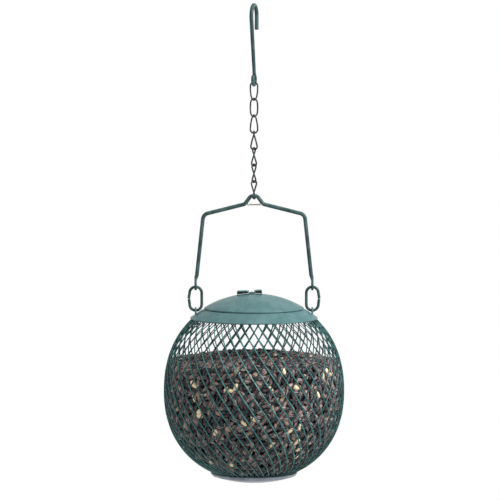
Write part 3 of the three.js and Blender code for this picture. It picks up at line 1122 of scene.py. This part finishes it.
@dataclass(frozen=True)
class Ball:
    """The basket's round shape: an oval of revolution that is a little fuller than an ellipse.

    Attributes:
        radius: Its widest radius.
        middle: The height of its widest part.
        up: Its half height above the middle.
        down: Its half height below the middle.
        power: The oval's exponent.
    """

    radius: float = 90.8 * MM
    middle: float = -384 * MM
    up: float = 94.9 * MM
    down: float = 90.1 * MM
    power: float = 2.2

    def reach(self, angle: np.ndarray, inset: float = 0.0) -> np.ndarray:
        """Returns the half height above or below the middle, by the sign of an angle."""
        return np.where(angle > 0, self.up, self.down) - inset

    def point(self, angle: np.ndarray, inset: float = 0.0) -> np.ndarray:
        """Returns radius and height at an angle up from the widest part."""
        share = 2 / self.power
        r = (self.radius - inset) * np.cos(angle) ** share
        z = self.middle + np.sign(angle) * self.reach(angle, inset) * np.abs(np.sin(angle)) ** share
        return np.column_stack([r, z])

    def angle(self, z: float, inset: float = 0.0) -> float:
        """Returns the angle at a height."""
        rise = (z - self.middle) / ((self.up if z > self.middle else self.down) - inset)
        return math.copysign(math.asin(abs(rise) ** (self.power / 2)), rise)

    def side(self, low: float, high: float, count: int, inset: float = 0.0) -> np.ndarray:
        """Returns points up the side between two heights."""
        angles = np.linspace(self.angle(low, inset), self.angle(high, inset), count)
        return self.point(angles, inset)


def lattice_group() -> bpy.types.NodeTree:
    """Returns the group that repeats one strand round the ball, as it is or mirrored."""
    g = GeoGroup(
        "strand_lattice",
        {
            "Strand Count": "NodeSocketInt",
            "Strand Width": "NodeSocketFloat",
            "Strand Thickness": "NodeSocketFloat",
            "Lean": "NodeSocketFloat",
            "Hand": "NodeSocketFloat",
        },
    )
    strand = g.node("GeometryNodeMeshToCurve", None, {"Mesh": g.given("Geometry")})
    section = g.node(
        "GeometryNodeCurvePrimitiveQuadrilateral",
        None,
        {"Width": g.given("Strand Width"), "Height": g.given("Strand Thickness")},
    )
    copies = g.node(
        "GeometryNodeDuplicateElements",
        {"domain": "SPLINE"},
        {"Geometry": strand, "Amount": g.given("Strand Count")},
    )
    step = copies.out("Duplicate Index") / g.given("Strand Count") * (2 * math.pi)
    mirror = g.xyz(1.0, g.given("Hand"), 1.0)
    place = g.turned(g.vec("MULTIPLY", g.position(), mirror), step)
    facing = g.turned(g.vec("MULTIPLY", g.attribute("facing", "FLOAT_VECTOR"), mirror), step)
    kept = g.stored(copies, "facing", facing, "FLOAT_VECTOR", "POINT")
    normal = g.node(
        "GeometryNodeSetCurveNormal",
        {"mode": "FREE"},
        {"Curve": g.moved(kept, place), "Normal": g.attribute("facing", "FLOAT_VECTOR")},
    )
    tilt = g.given("Lean") * g.given("Hand")
    tilted = g.node("GeometryNodeSetCurveTilt", None, {"Curve": normal, "Tilt": tilt})
    strands = g.node(
        "GeometryNodeCurveToMesh",
        None,
        {"Curve": tilted, "Profile Curve": section, "Scale": 1.0, "Fill Caps": True},
    )
    return g.finish(strands, smooth=False)


def knuckle_group() -> bpy.types.NodeTree:
    """Returns the group that puts a knuckle on every crossing of two strands."""
    g = GeoGroup(
        "lattice_knuckles",
        {"Strand Count": "NodeSocketInt", "Knuckle Size": "NodeSocketVector"},
    )
    copies = g.node(
        "GeometryNodeDuplicateElements",
        {"domain": "POINT"},
        {"Geometry": g.node("GeometryNodeMeshToPoints", None, {"Mesh": g.given("Geometry")}),
         "Amount": g.given("Strand Count")},
    )
    step = copies.out("Duplicate Index") / g.given("Strand Count") * (2 * math.pi)
    facing = g.turned(g.attribute("facing", "FLOAT_VECTOR"), step)
    kept = g.stored(copies, "facing", facing, "FLOAT_VECTOR", "POINT")
    spread = g.moved(kept, g.turned(g.position(), step))
    upright_turn = g.node(
        "FunctionNodeAlignRotationToVector",
        {"axis": "Y"},
        {"Vector": g.attribute("facing", "FLOAT_VECTOR")},
    )
    held = g.node(
        "FunctionNodeAlignRotationToVector",
        {"axis": "Z", "pivot_axis": "Y"},
        {"Rotation": upright_turn, "Vector": (0.0, 0.0, 1.0)},
    )
    bead = g.node("GeometryNodeMeshIcoSphere", None, {"Radius": 1.0, "Subdivisions": 1})
    knuckles = g.node(
        "GeometryNodeInstanceOnPoints",
        None,
        {"Points": spread, "Instance": bead, "Rotation": held, "Scale": g.given("Knuckle Size")},
    )
    return g.finish(knuckles, smooth=True)


@dataclass
class Basket:
    """The ball of expanded metal with its collar, lugs and base.

    Attributes:
        ball: The ball's shape.
        strands: Strands round the ball, leaning each way.
        half_mesh: Length of a strand between two crossings.
        strand_width: Width of a strand.
        strand_thick: Thickness of a strand.
        lean: How far a strand is turned out of the ball's skin, in degrees.
        inset: How far the strands' middles lie inside the mesh's outer face.
        knuckle: Half sizes of the knuckle where two strands join.
        sheet: Thickness of the pressed sheet.
        seat: Radius of the lid's seat on the collar.
        throat: Radius of the collar's throat.
        cone_drop: How far the collar's cone falls.
        cone_bulge: The exponent of the cone's slight bulge.
        tab_bore: Radius of a lug's hole.
        tab_radius: Radius of a lug's round top.
        bowl: Radius of the dish's bowl.
        foot: Radius of the level disc under the dish.
    """

    ball: Ball = field(default_factory=Ball)
    strands: int = 52
    half_mesh: float = 9.87 * MM
    strand_width: float = 0.85 * MM
    strand_thick: float = 1.05 * MM
    lean: float = -32.0
    inset: float = 0.95 * MM
    knuckle: tuple[float, float, float] = (0.95 * MM, 0.5 * MM, 1.9 * MM)
    sheet: float = 0.8 * MM
    seat: float = 50.3 * MM
    throat: float = 46.4 * MM
    cone_drop: float = 8.0 * MM
    cone_bulge: float = 1.12
    tab_bore: float = 2.0 * MM
    tab_radius: float = 3.8 * MM
    bowl: float = 41.5 * MM
    foot: float = 12 * MM

    def build(self) -> None:
        """Builds and settles every piece of the basket."""
        route, facing, crossings, crossing_facing = self.strand_route()
        group = lattice_group()
        # The two strand families wear lit and shaded copies of one paint: painted highlight on one
        # family, painted shade on the other.
        for name, hand, finish, nodes in (
            ("mesh_strands_painted_lit", -1.0, Coat.LATTICE, ["mesh_basket"]),
            ("mesh_strands_painted_shade", 1.0, Coat.SHADED, []),
        ):
            strands = grown(
                name,
                thread(name, route, facing=facing),
                group,
                Strand_Count=self.strands,
                Strand_Width=self.strand_width,
                Strand_Thickness=self.strand_thick,
                Lean=math.radians(self.lean),
                Hand=hand,
                Finish=finish.cloth(),
            )
            settle(strands, "basket", finish, nodes)
        # The knuckles take the lighter, painted-highlight copy of the lattice paint.
        knuckles = grown(
            "mesh_knuckles",
            thread("mesh_knuckles", crossings, facing=crossing_facing),
            knuckle_group(),
            Strand_Count=self.strands,
            Knuckle_Size=self.knuckle,
            Finish=Coat.LATTICE.cloth(),
        )
        settle(knuckles, "basket", Coat.LATTICE)
        settle(self.collar(), "basket", Coat.GREEN, ["top_collar"])
        settle(self.dish(), "basket", Coat.DISH, ["base_dish"])
        for side, name in ((-1, "hanger_lug_left"), (1, "hanger_lug_right")):
            settle(self.lug(side, name), "basket", Coat.GREEN, [name])
        dress("mesh_clamp_ring", Coat.GREEN)
        dress("base_inner_plate", Coat.DISH)

    def strand_route(self) -> tuple[np.ndarray, np.ndarray, np.ndarray, np.ndarray]:
        """Works out one strand, which keeps its length between crossings as the ball narrows.

        Returns:
            The strand's points, its outward directions, its crossings and theirs.
        """
        low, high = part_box("mesh_basket")
        fine = np.linspace(self.ball.angle(low.z), self.ball.angle(high.z), 1400)
        line = self.ball.point(fine, self.inset)
        steps = np.linalg.norm(np.diff(line, axis=0), axis=1)
        half_width = math.pi * line[:, 0] / self.strands
        row_height = np.sqrt(np.maximum(self.half_mesh**2 - half_width**2, (2 * MM) ** 2))
        turn_rate = math.pi / self.strands / row_height
        turn = np.concatenate([[0.0], np.cumsum(steps * (turn_rate[1:] + turn_rate[:-1]) / 2)])
        slope = np.gradient(line, axis=0)
        normal = np.column_stack([slope[:, 1], -slope[:, 0]])
        normal /= np.linalg.norm(normal, axis=1)[:, None]

        def at(places: np.ndarray) -> tuple[np.ndarray, np.ndarray]:
            """Returns points and outward directions at indices along the fine line."""
            around = np.column_stack([np.cos(turn[places]), np.sin(turn[places])])
            points = np.column_stack([line[places, :1] * around, line[places, 1]])
            outward = np.column_stack([normal[places, :1] * around, normal[places, 1]])
            return points, outward

        rows = np.arange(1, int(turn[-1] * self.strands / math.pi) + 1) * math.pi / self.strands
        route, facing = at(np.linspace(0, len(fine) - 1, 78).astype(int))
        crossings, crossing_facing = at(np.searchsorted(turn, rows).clip(0, len(fine) - 1))
        return route, facing, crossings, crossing_facing

    def collar(self) -> bpy.types.Object:
        """Returns the coned collar, with its throat, the lid's seat and a rolled lower edge."""
        _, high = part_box("top_collar")
        half = self.sheet / 2
        top = high.z - half
        t = np.linspace(0, 1, 14)
        cone = np.column_stack(
            [self.seat + (high.x - self.seat - half) * t, top - self.cone_drop * t**self.cone_bulge]
        )
        foot = (self.throat, high.z - 6.1 * MM, 0)
        mouth = bent([foot, (self.throat, top, 0.9 * MM), (self.seat, top, 0)])
        roll = arc((0.0, -0.45 * MM), 0.45 * MM, 60, -60, 6)
        path = np.vstack([mouth, cone[1:], cone[-1] + roll])
        return turned("collar_pressing", sheet_outline(path, self.sheet), Coat.GREEN, 192)

    def lug(self, side: int, name: str) -> bpy.types.Object:
        """Returns a lug: a pierced tab that stands on the collar."""
        low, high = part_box(name)
        centre_z = high.z - self.tab_radius
        hole = circle(self.tab_bore, RIM_POINTS)
        edge = circle(self.tab_radius, RIM_POINTS)
        foot = np.clip(-edge[:, 1] / self.tab_radius, 0, 1)
        edge[:, 1] = np.where(foot > 0.35, low.z - centre_z + 0.2 * MM, edge[:, 1])
        edge[:, 0] = np.where(foot > 0.35, edge[:, 0] * 1.25, edge[:, 0])
        x = (low.x + high.x) / 2

        def place(plane: np.ndarray, height: float) -> np.ndarray:
            """Returns plate points stood up across X, their foot following the collar's slope."""
            z = plane[:, 1] + centre_z
            drop = np.where(plane[:, 1] < -2.5 * MM, -side * height * 0.7, 0.0)
            return np.column_stack([np.full(len(plane), x + height), plane[:, 0], z + drop])

        return ring_plate(f"{name}_tab", edge, hole, high.x - low.x, place, Coat.GREEN, 0.3 * MM)

    def dish(self) -> bpy.types.Object:
        """Returns the shallow base dish with a rolled rim."""
        low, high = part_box("base_dish")
        half = self.sheet / 2
        waist = np.array([self.bowl, high.z - 2.2 * MM])
        rise = waist[1] - low.z - half
        big = (waist[0] ** 2 + rise**2) / (2 * rise)
        r = np.linspace(waist[0], self.foot, 16)
        bowl = np.column_stack([r, low.z + half + big - np.sqrt(big**2 - r**2)])
        bowl[:, 1] -= bowl[-1, 1] - low.z - half
        rim_r = high.x - half
        lip = bent(
            [(rim_r - 0.5 * MM, high.z, 0), (rim_r, high.z - 0.6 * MM, 0.3 * MM), (*bowl[0], 0)]
        )
        path = np.vstack([lip, bowl[1:], [[0.0, bowl[-1, 1]]]])
        return turned("base_pressing", sheet_outline(path, self.sheet), Coat.DISH)


def dress(node: str, finish: Coat) -> None:
    """Gives a CAD node that stays visible its finish."""
    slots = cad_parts[node].data.materials
    slots.clear()
    slots.append(finish.cloth())
    LOG.info("%s: kept from the frame, dressed in %s", node, finish.name)


# ---- Lid ----


@dataclass
class Lid:
    """The domed lid with its skirt, finger grip and rivet.

    Attributes:
        sheet: Thickness of the dome's sheet.
        rim_top: Height where the dome turns down into its rim.
        clearance: Gap between the dome and what lies over it.
        strap: Thickness of the grip's strap.
        grip_half: Half length of the grip.
        grip_depth: Half depth of the grip.
        grip_top: Height of the grip's top.
        grip_foot: Height of the strap's folded ends.
        hem_curve: Twice the radius of the curve along the grip's back edge.
        dip_x: Where the grip dips to its rivet.
        grip_lean: How far round the dome from its top the grip sits, in degrees.
    """

    sheet: float = 0.8 * MM
    rim_top: float = -300.4 * MM
    clearance: float = 0.3 * MM
    strap: float = 0.9 * MM
    grip_half: float = 12.6 * MM
    grip_depth: float = 4.5 * MM
    grip_top: float = -282.8 * MM
    grip_foot: float = -286.8 * MM
    hem_curve: float = 190 * MM
    dip_x: float = 2.1 * MM
    grip_lean: float = -2.64

    def build(self) -> None:
        """Builds and settles every piece of the lid."""
        settle(self.dome(), "lid", Coat.GREEN, ["lid_dome"])
        settle(self.grip(), "lid", Coat.GREEN, ["lid_grip"])
        settle(self.rivet(), "lid", Coat.CHAIN, ["lid_rivet"])
        dress("lid_skirt", Coat.GREEN)

    def dome_radius(self) -> float:
        """Returns the radius of the ball that the dome is a slice of."""
        _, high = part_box("lid_dome")
        rise = high.z - self.rim_top
        return (high.x**2 + rise**2) / (2 * rise)

    def dome(self) -> bpy.types.Object:
        """Returns the shallow dome with its turned-down rim."""
        low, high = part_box("lid_dome")
        half = self.sheet / 2
        rim_r = high.x - half
        big = self.dome_radius()
        r = np.linspace(0, rim_r - 0.6 * MM, 36)
        crown = np.column_stack([r, high.z - half - (big - np.sqrt(big**2 - r**2))])
        corner = (rim_r, crown[-1, 1] - 0.25 * MM, 0.5 * MM)
        rim = bent([(*crown[-1], 0), corner, (rim_r, low.z + half, 0)], 20)
        path = np.vstack([crown, rim[1:]])
        return turned("lid_pressing", sheet_outline(path, self.sheet), Coat.GREEN, 192)

    def onto_lid(self, points: np.ndarray) -> np.ndarray:
        """Moves points made over the dome's top round the dome to where the grip sits."""
        _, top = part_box("lid_dome")
        centre = top.z - self.dome_radius()
        cos, sin = math.cos(math.radians(self.grip_lean)), math.sin(math.radians(self.grip_lean))
        x, z = points[:, 0], points[:, 2] - centre
        return np.column_stack([x * cos + z * sin, points[:, 1], centre + z * cos - x * sin])

    def grip(self) -> bpy.types.Object:
        """Returns the finger grip, a strap folded down at its ends and dipped at its rivet."""
        line = self.grip_top - self.strap / 2
        _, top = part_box("lid_dome")
        dip = top.z + self.clearance + self.strap / 2
        leg = self.grip_half - self.strap / 2
        steps = [
            (-leg, self.grip_foot, 0),
            (-leg, line, 0.8),
            (self.dip_x - 4.7 * MM, line, 1.0),
            (self.dip_x - 2.2 * MM, dip, 0.9),
            (self.dip_x + 2.2 * MM, dip, 0.9),
            (self.dip_x + 4.7 * MM, line, 1.0),
            (leg, line, 0.8),
            (leg, self.grip_foot, 0),
        ]
        path = bent([(x, z, bend * MM) for x, z, bend in steps], 12)
        strip = sheet_strip(path, self.strap)
        parts = [self.plate("grip_strap", strip, -self.grip_depth, self.grip_depth)]
        inner, outer = self.grip_depth - self.strap, self.grip_depth - 0.02 * MM
        for start, end in ((-leg, self.dip_x - 2.6 * MM), (self.dip_x + 2.6 * MM, leg)):
            x = np.linspace(start, end, 7)
            hem = np.column_stack([x, top.z + self.clearance - x**2 / self.hem_curve])
            wall = np.vstack([hem, [[end, line], [start, line]]])
            parts.append(self.plate("grip_wall", wall, inner, outer))
        return fused("grip_strap", parts, 0.16 * MM, 2)

    def plate(self, name: str, outline: np.ndarray, front: float, back: float) -> bpy.types.Object:
        """Returns a plate on the lid, with its outline seen from the front and its two depths."""
        count = len(outline)
        depths = np.repeat([front, back], count)
        across, height = np.tile(outline, (2, 1)).T
        points = np.column_stack([across, depths, height])
        faces = [[k, (k + 1) % count, count + (k + 1) % count, count + k] for k in range(count)]
        faces += [list(range(count))[::-1], list(range(count, 2 * count))]
        return mesh_object(name, self.onto_lid(points), faces, Coat.GREEN)

    def rivet(self) -> bpy.types.Object:
        """Returns the grip's rivet with a domed head."""
        low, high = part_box("lid_rivet")
        head, shank = 2.15 * MM, 1.2 * MM
        crown = arc((0.0, high.z - 2.9 * MM), 2.9 * MM, 90.0, 42.0, 9)
        crown[:, 0] *= head / crown[-1, 0]
        under = high.z - 0.8 * MM
        over = low.z + 0.8 * MM
        stem = [[head, under], [shank, under], [shank, over], [head * 0.95, over]]
        outline = np.vstack([crown, stem, [[head * 0.8, low.z], [0.0, low.z]]])
        made = turned("grip_rivet", outline, Coat.CHAIN, 48)
        places = np.array([v.co for v in made.data.vertices]) + [self.dip_x, 0.0, 0.0]
        made.data.vertices.foreach_set("co", self.onto_lid(places).astype(np.float32).ravel())
        return made


def sheet_strip(path: np.ndarray, thick: float) -> np.ndarray:
    """Returns the outline of a bent strip with square ends, as many points out as back."""
    normal = half_thickness(path, thick)
    return np.vstack([path + normal, (path - normal)[::-1]])


# ---- Seed ----


def seed_group() -> bpy.types.NodeTree:
    """Returns the group that strews seeds over a surface, each lying roughly flat on it."""
    g = GeoGroup(
        "strewn_seeds",
        {
            "Spacing": "NodeSocketFloat",
            "Density": "NodeSocketFloat",
            "Seed Length": "NodeSocketFloat",
            "Toss": "NodeSocketFloat",
            "Draw": "NodeSocketInt",
        },
    )
    points = g.node(
        "GeometryNodeDistributePointsOnFaces",
        {"distribute_method": "POISSON"},
        {
            "Mesh": g.given("Geometry"), "Distance Min": g.given("Spacing"),
            "Density Max": g.given("Density"), "Seed": g.given("Draw"),
        },
    )
    toss = g.given("Toss")
    spin = g.node(
        "FunctionNodeEulerToRotation",
        None,
        {
            "Euler": g.xyz(
                g.random(-1.0, 1.0, 3) * toss,
                g.random(-1.0, 1.0, 4) * toss,
                g.random(0.0, 2 * math.pi, 5),
            )
        },
    )
    lying = g.node(
        "FunctionNodeRotateRotation",
        {"rotation_space": "LOCAL"},
        {"Rotation": points.out("Rotation"), "Rotate By": spin},
    )
    egg = g.node("GeometryNodeMeshUVSphere", None, {"Segments": 6, "Rings": 5, "Radius": 1.0})
    grained = g.stored(egg, "grain", g.position(), "FLOAT_VECTOR", "POINT")
    x, y, z = g.split(g.position())
    taper = 1.0 - z * 0.3 - z * z * 0.15
    hull = g.moved(grained, g.xyz(z * 0.5, y * 0.27 * taper, x * -0.2 * taper))
    size = g.given("Seed Length") * g.random(0.78, 1.15, 6)
    sown = g.node(
        "GeometryNodeInstanceOnPoints",
        None,
        {
            "Points": points,
            "Instance": hull,
            "Rotation": lying,
            "Scale": g.xyz(size, size * g.random(0.85, 1.15, 7), size * g.random(0.8, 1.2, 8)),
        },
    )
    toned = g.stored(sown, "tone", g.random(0.0, 1.0, 9), "FLOAT", "INSTANCE")
    return g.finish(toned, smooth=True)


@dataclass
class SeedLoad:
    """The sunflower seed in the basket: a strewn skin of seeds over a heap, which stands for the
    seed behind and is painted near-black as painted shade in the gaps.

    Attributes:
        ball: The ball that holds it.
        length: Length of a usual seed.
        spacing: Least distance between two seeds' middles.
        density: Seeds for each square metre before the spacing thins them out.
        skin: How far the seeds' middles lie inside the mesh.
        edge_drop: How far the load's edge lies below the top of its space.
        heap_depth: How far the heap, painted near-black as shade, lies behind the seeds' middles.
        flank_toss: How far a seed at the mesh tips, in radians.
        crown_toss: How far a seed on top tips, in radians.
    """

    ball: Ball = field(default_factory=Ball)
    length: float = 9.8 * MM
    spacing: float = 3.5 * MM
    density: float = 0.09e6
    skin: float = 3.6 * MM
    edge_drop: float = 10.5 * MM
    heap_depth: float = 5.2 * MM
    flank_toss: float = 0.32
    crown_toss: float = 0.55

    def build(self) -> None:
        """Builds and settles the seeds and the heap behind them."""
        low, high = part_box("seed_fill")
        edge_z = high.z - self.edge_drop
        side = self.ball.side(low.z + 1 * MM, edge_z, 40, self.skin)
        group = seed_group()
        flank = self.strewn("seeds_at_mesh", side, group, 11, self.flank_toss)
        settle(flank, "basket", Coat.HULL, ["seed_fill"])
        crown = self.crown(side[-1, 0], edge_z, high.z - 1.5 * MM)
        top = self.strewn("seeds_on_top", crown, group, 12, self.crown_toss)
        settle(top, "basket", Coat.HULL)
        # The heap is painted near-black, standing in for the shade between the seeds.
        settle(self.heap(low.z + 2 * MM, edge_z, high.z), "basket", Coat.HULL)

    def crown(self, radius: float, edge_z: float, top_z: float) -> np.ndarray:
        """Returns the section of the heap's top, from its edge to the middle."""
        t = np.linspace(1, 0, 16)
        return np.column_stack([radius * t, top_z + (edge_z - top_z) * t**2])

    def strewn(
        self, name: str, section: np.ndarray, group: bpy.types.NodeTree, draw: int, toss: float
    ) -> bpy.types.Object:
        """Strews seeds over the surface that a section sweeps about Z.

        Args:
            name: The new object's name.
            section: The surface's section, as radius and height.
            group: The node group that strews them.
            draw: The seed of the random draw.
            toss: How far a seed tips, in radians.

        Returns:
            The seeds, as one mesh.
        """
        sides = 96
        angles = np.arange(sides) * 2 * math.pi / sides
        points = np.array(
            [(r * math.cos(a), r * math.sin(a), z) for r, z in section for a in angles]
        )
        if section[-1, 0] < 1e-6:
            points[-sides:, :2] *= 0
        faces = [
            [low + k, low + (k + 1) % sides, low + sides + (k + 1) % sides, low + sides + k]
            for low in range(0, (len(section) - 1) * sides, sides)
            for k in range(sides)
        ]
        mesh = bpy.data.meshes.new(name)
        mesh.from_pydata(points.tolist(), [], faces)
        carrier = bpy.data.objects.new(name, mesh)
        return grown(
            name,
            carrier,
            group,
            Spacing=self.spacing,
            Density=self.density,
            Seed_Length=self.length,
            Toss=toss,
            Draw=draw,
            Finish=Coat.HULL.cloth(),
        )

    def heap(self, low_z: float, edge_z: float, top_z: float) -> bpy.types.Object:
        """Returns the heap that fills the gaps between the strewn seeds. It has no tone of its own,
        so it takes the hulls' darkest colour: the seed behind, shown as painted shade in the gaps.
        """
        side = self.ball.side(low_z, edge_z - 1 * MM, 40, self.skin + self.heap_depth / 2)
        crown = self.crown(side[-1, 0], edge_z - 1 * MM, top_z - self.heap_depth)
        outline = np.vstack([[[0.0, low_z]], side, crown[1:]])
        made = turned("seed_heap_painted_shade", outline, Coat.HULL, 180)
        places = np.array([v.co for v in made.data.vertices])
        waves = np.sin(places * 1900.0 + np.roll(places, 1, axis=1) * 1300.0).sum(1)
        hub = np.array([0.0, 0.0, self.ball.middle])
        away = places - hub
        away /= np.linalg.norm(away, axis=1)[:, None]
        moved = places + away * (waves * 0.35 * MM)[:, None]
        made.data.vertices.foreach_set("co", moved.astype(np.float32).ravel())
        return made


# ---- Studio ----


@dataclass
class Studio:
    """The plain pale floor, soft lights and camera.

    Attributes:
        elevation: How far the camera looks down, in degrees.
        distance: The camera's distance.
        field_of_view: How much the picture spans at the feeder.
        aim: The point that the camera looks at.
    """

    elevation: float = 4.3
    distance: float = 3.5
    field_of_view: float = 0.5
    aim: tuple[float, float, float] = (-0.004, 0.0, -0.2425)

    def build(self) -> None:
        """Sets up the camera, the floor, the world and the lights."""
        self.camera()
        self.floor()
        self.world()
        self.softbox("key_softbox", (2.2, -1.1, 1.3), (0.7, 0.7), 130.0)
        self.softbox("top_softbox", (0.3, -0.2, 1.9), (1.0, 1.0), 20.0)
        bpy.context.scene.view_settings.view_transform = "Standard"

    def camera(self) -> None:
        """Adds the camera, level and nearly without perspective."""
        data = bpy.data.cameras.new("camera")
        data.sensor_width = 36.0
        data.lens = data.sensor_width * self.distance / self.field_of_view
        data.clip_end = 2000.0
        tilt = math.radians(self.elevation)
        made = bpy.data.objects.new("camera", data)
        offset = Vector((0.0, -math.cos(tilt), math.sin(tilt))) * self.distance
        made.location = Vector(self.aim) + offset
        made.rotation_euler = (-offset).to_track_quat("-Z", "Y").to_euler()
        bpy.context.scene.collection.objects.link(made)
        bpy.context.scene.camera = made

    def floor(self) -> None:
        """Adds the pale floor, well below the feeder."""
        radius, height, sides = 2.4, -1.25, 96
        points = np.column_stack([circle(radius, sides), np.full(sides, height)])
        mesh = bpy.data.meshes.new("floor")
        mesh.from_pydata(points.tolist(), [], [list(range(sides))])
        mesh.materials.append(StudioPaper("studio_paper", 0.6).material())
        made = bpy.data.objects.new("floor", mesh)
        bpy.context.scene.collection.objects.link(made)

    def world(self) -> None:
        """Gives the world an even white light."""
        world = bpy.data.worlds.new("studio_world")
        world.use_nodes = True
        back = world.node_tree.nodes["Background"]
        back.inputs["Color"].default_value = (1.0, 1.0, 1.0, 1.0)
        back.inputs["Strength"].default_value = 1.0
        bpy.context.scene.world = world

    def softbox(
        self, name: str, place: tuple[float, float, float], size: tuple[float, float], power: float
    ) -> None:
        """Adds one soft rectangular light aimed at the feeder.

        Args:
            name: The light's name.
            place: Where it stands.
            size: Its width and height.
            power: Its power in watts.
        """
        data = bpy.data.lights.new(name, "AREA")
        data.shape = "RECTANGLE"
        data.size, data.size_y = size
        data.energy = power
        made = bpy.data.objects.new(name, data)
        made.location = place
        made.rotation_euler = (Vector(self.aim) - Vector(place)).to_track_quat("-Z", "Y").to_euler()
        bpy.context.scene.collection.objects.link(made)


def main() -> None:
    """Builds the studio and the feeder."""
    logging.basicConfig(level=logging.INFO, format="%(name)s %(message)s")
    Studio().build()
    Hanger().build()
    Basket().build()
    SeedLoad().build()
    Lid().build()


if __name__ == "__main__":
    main()
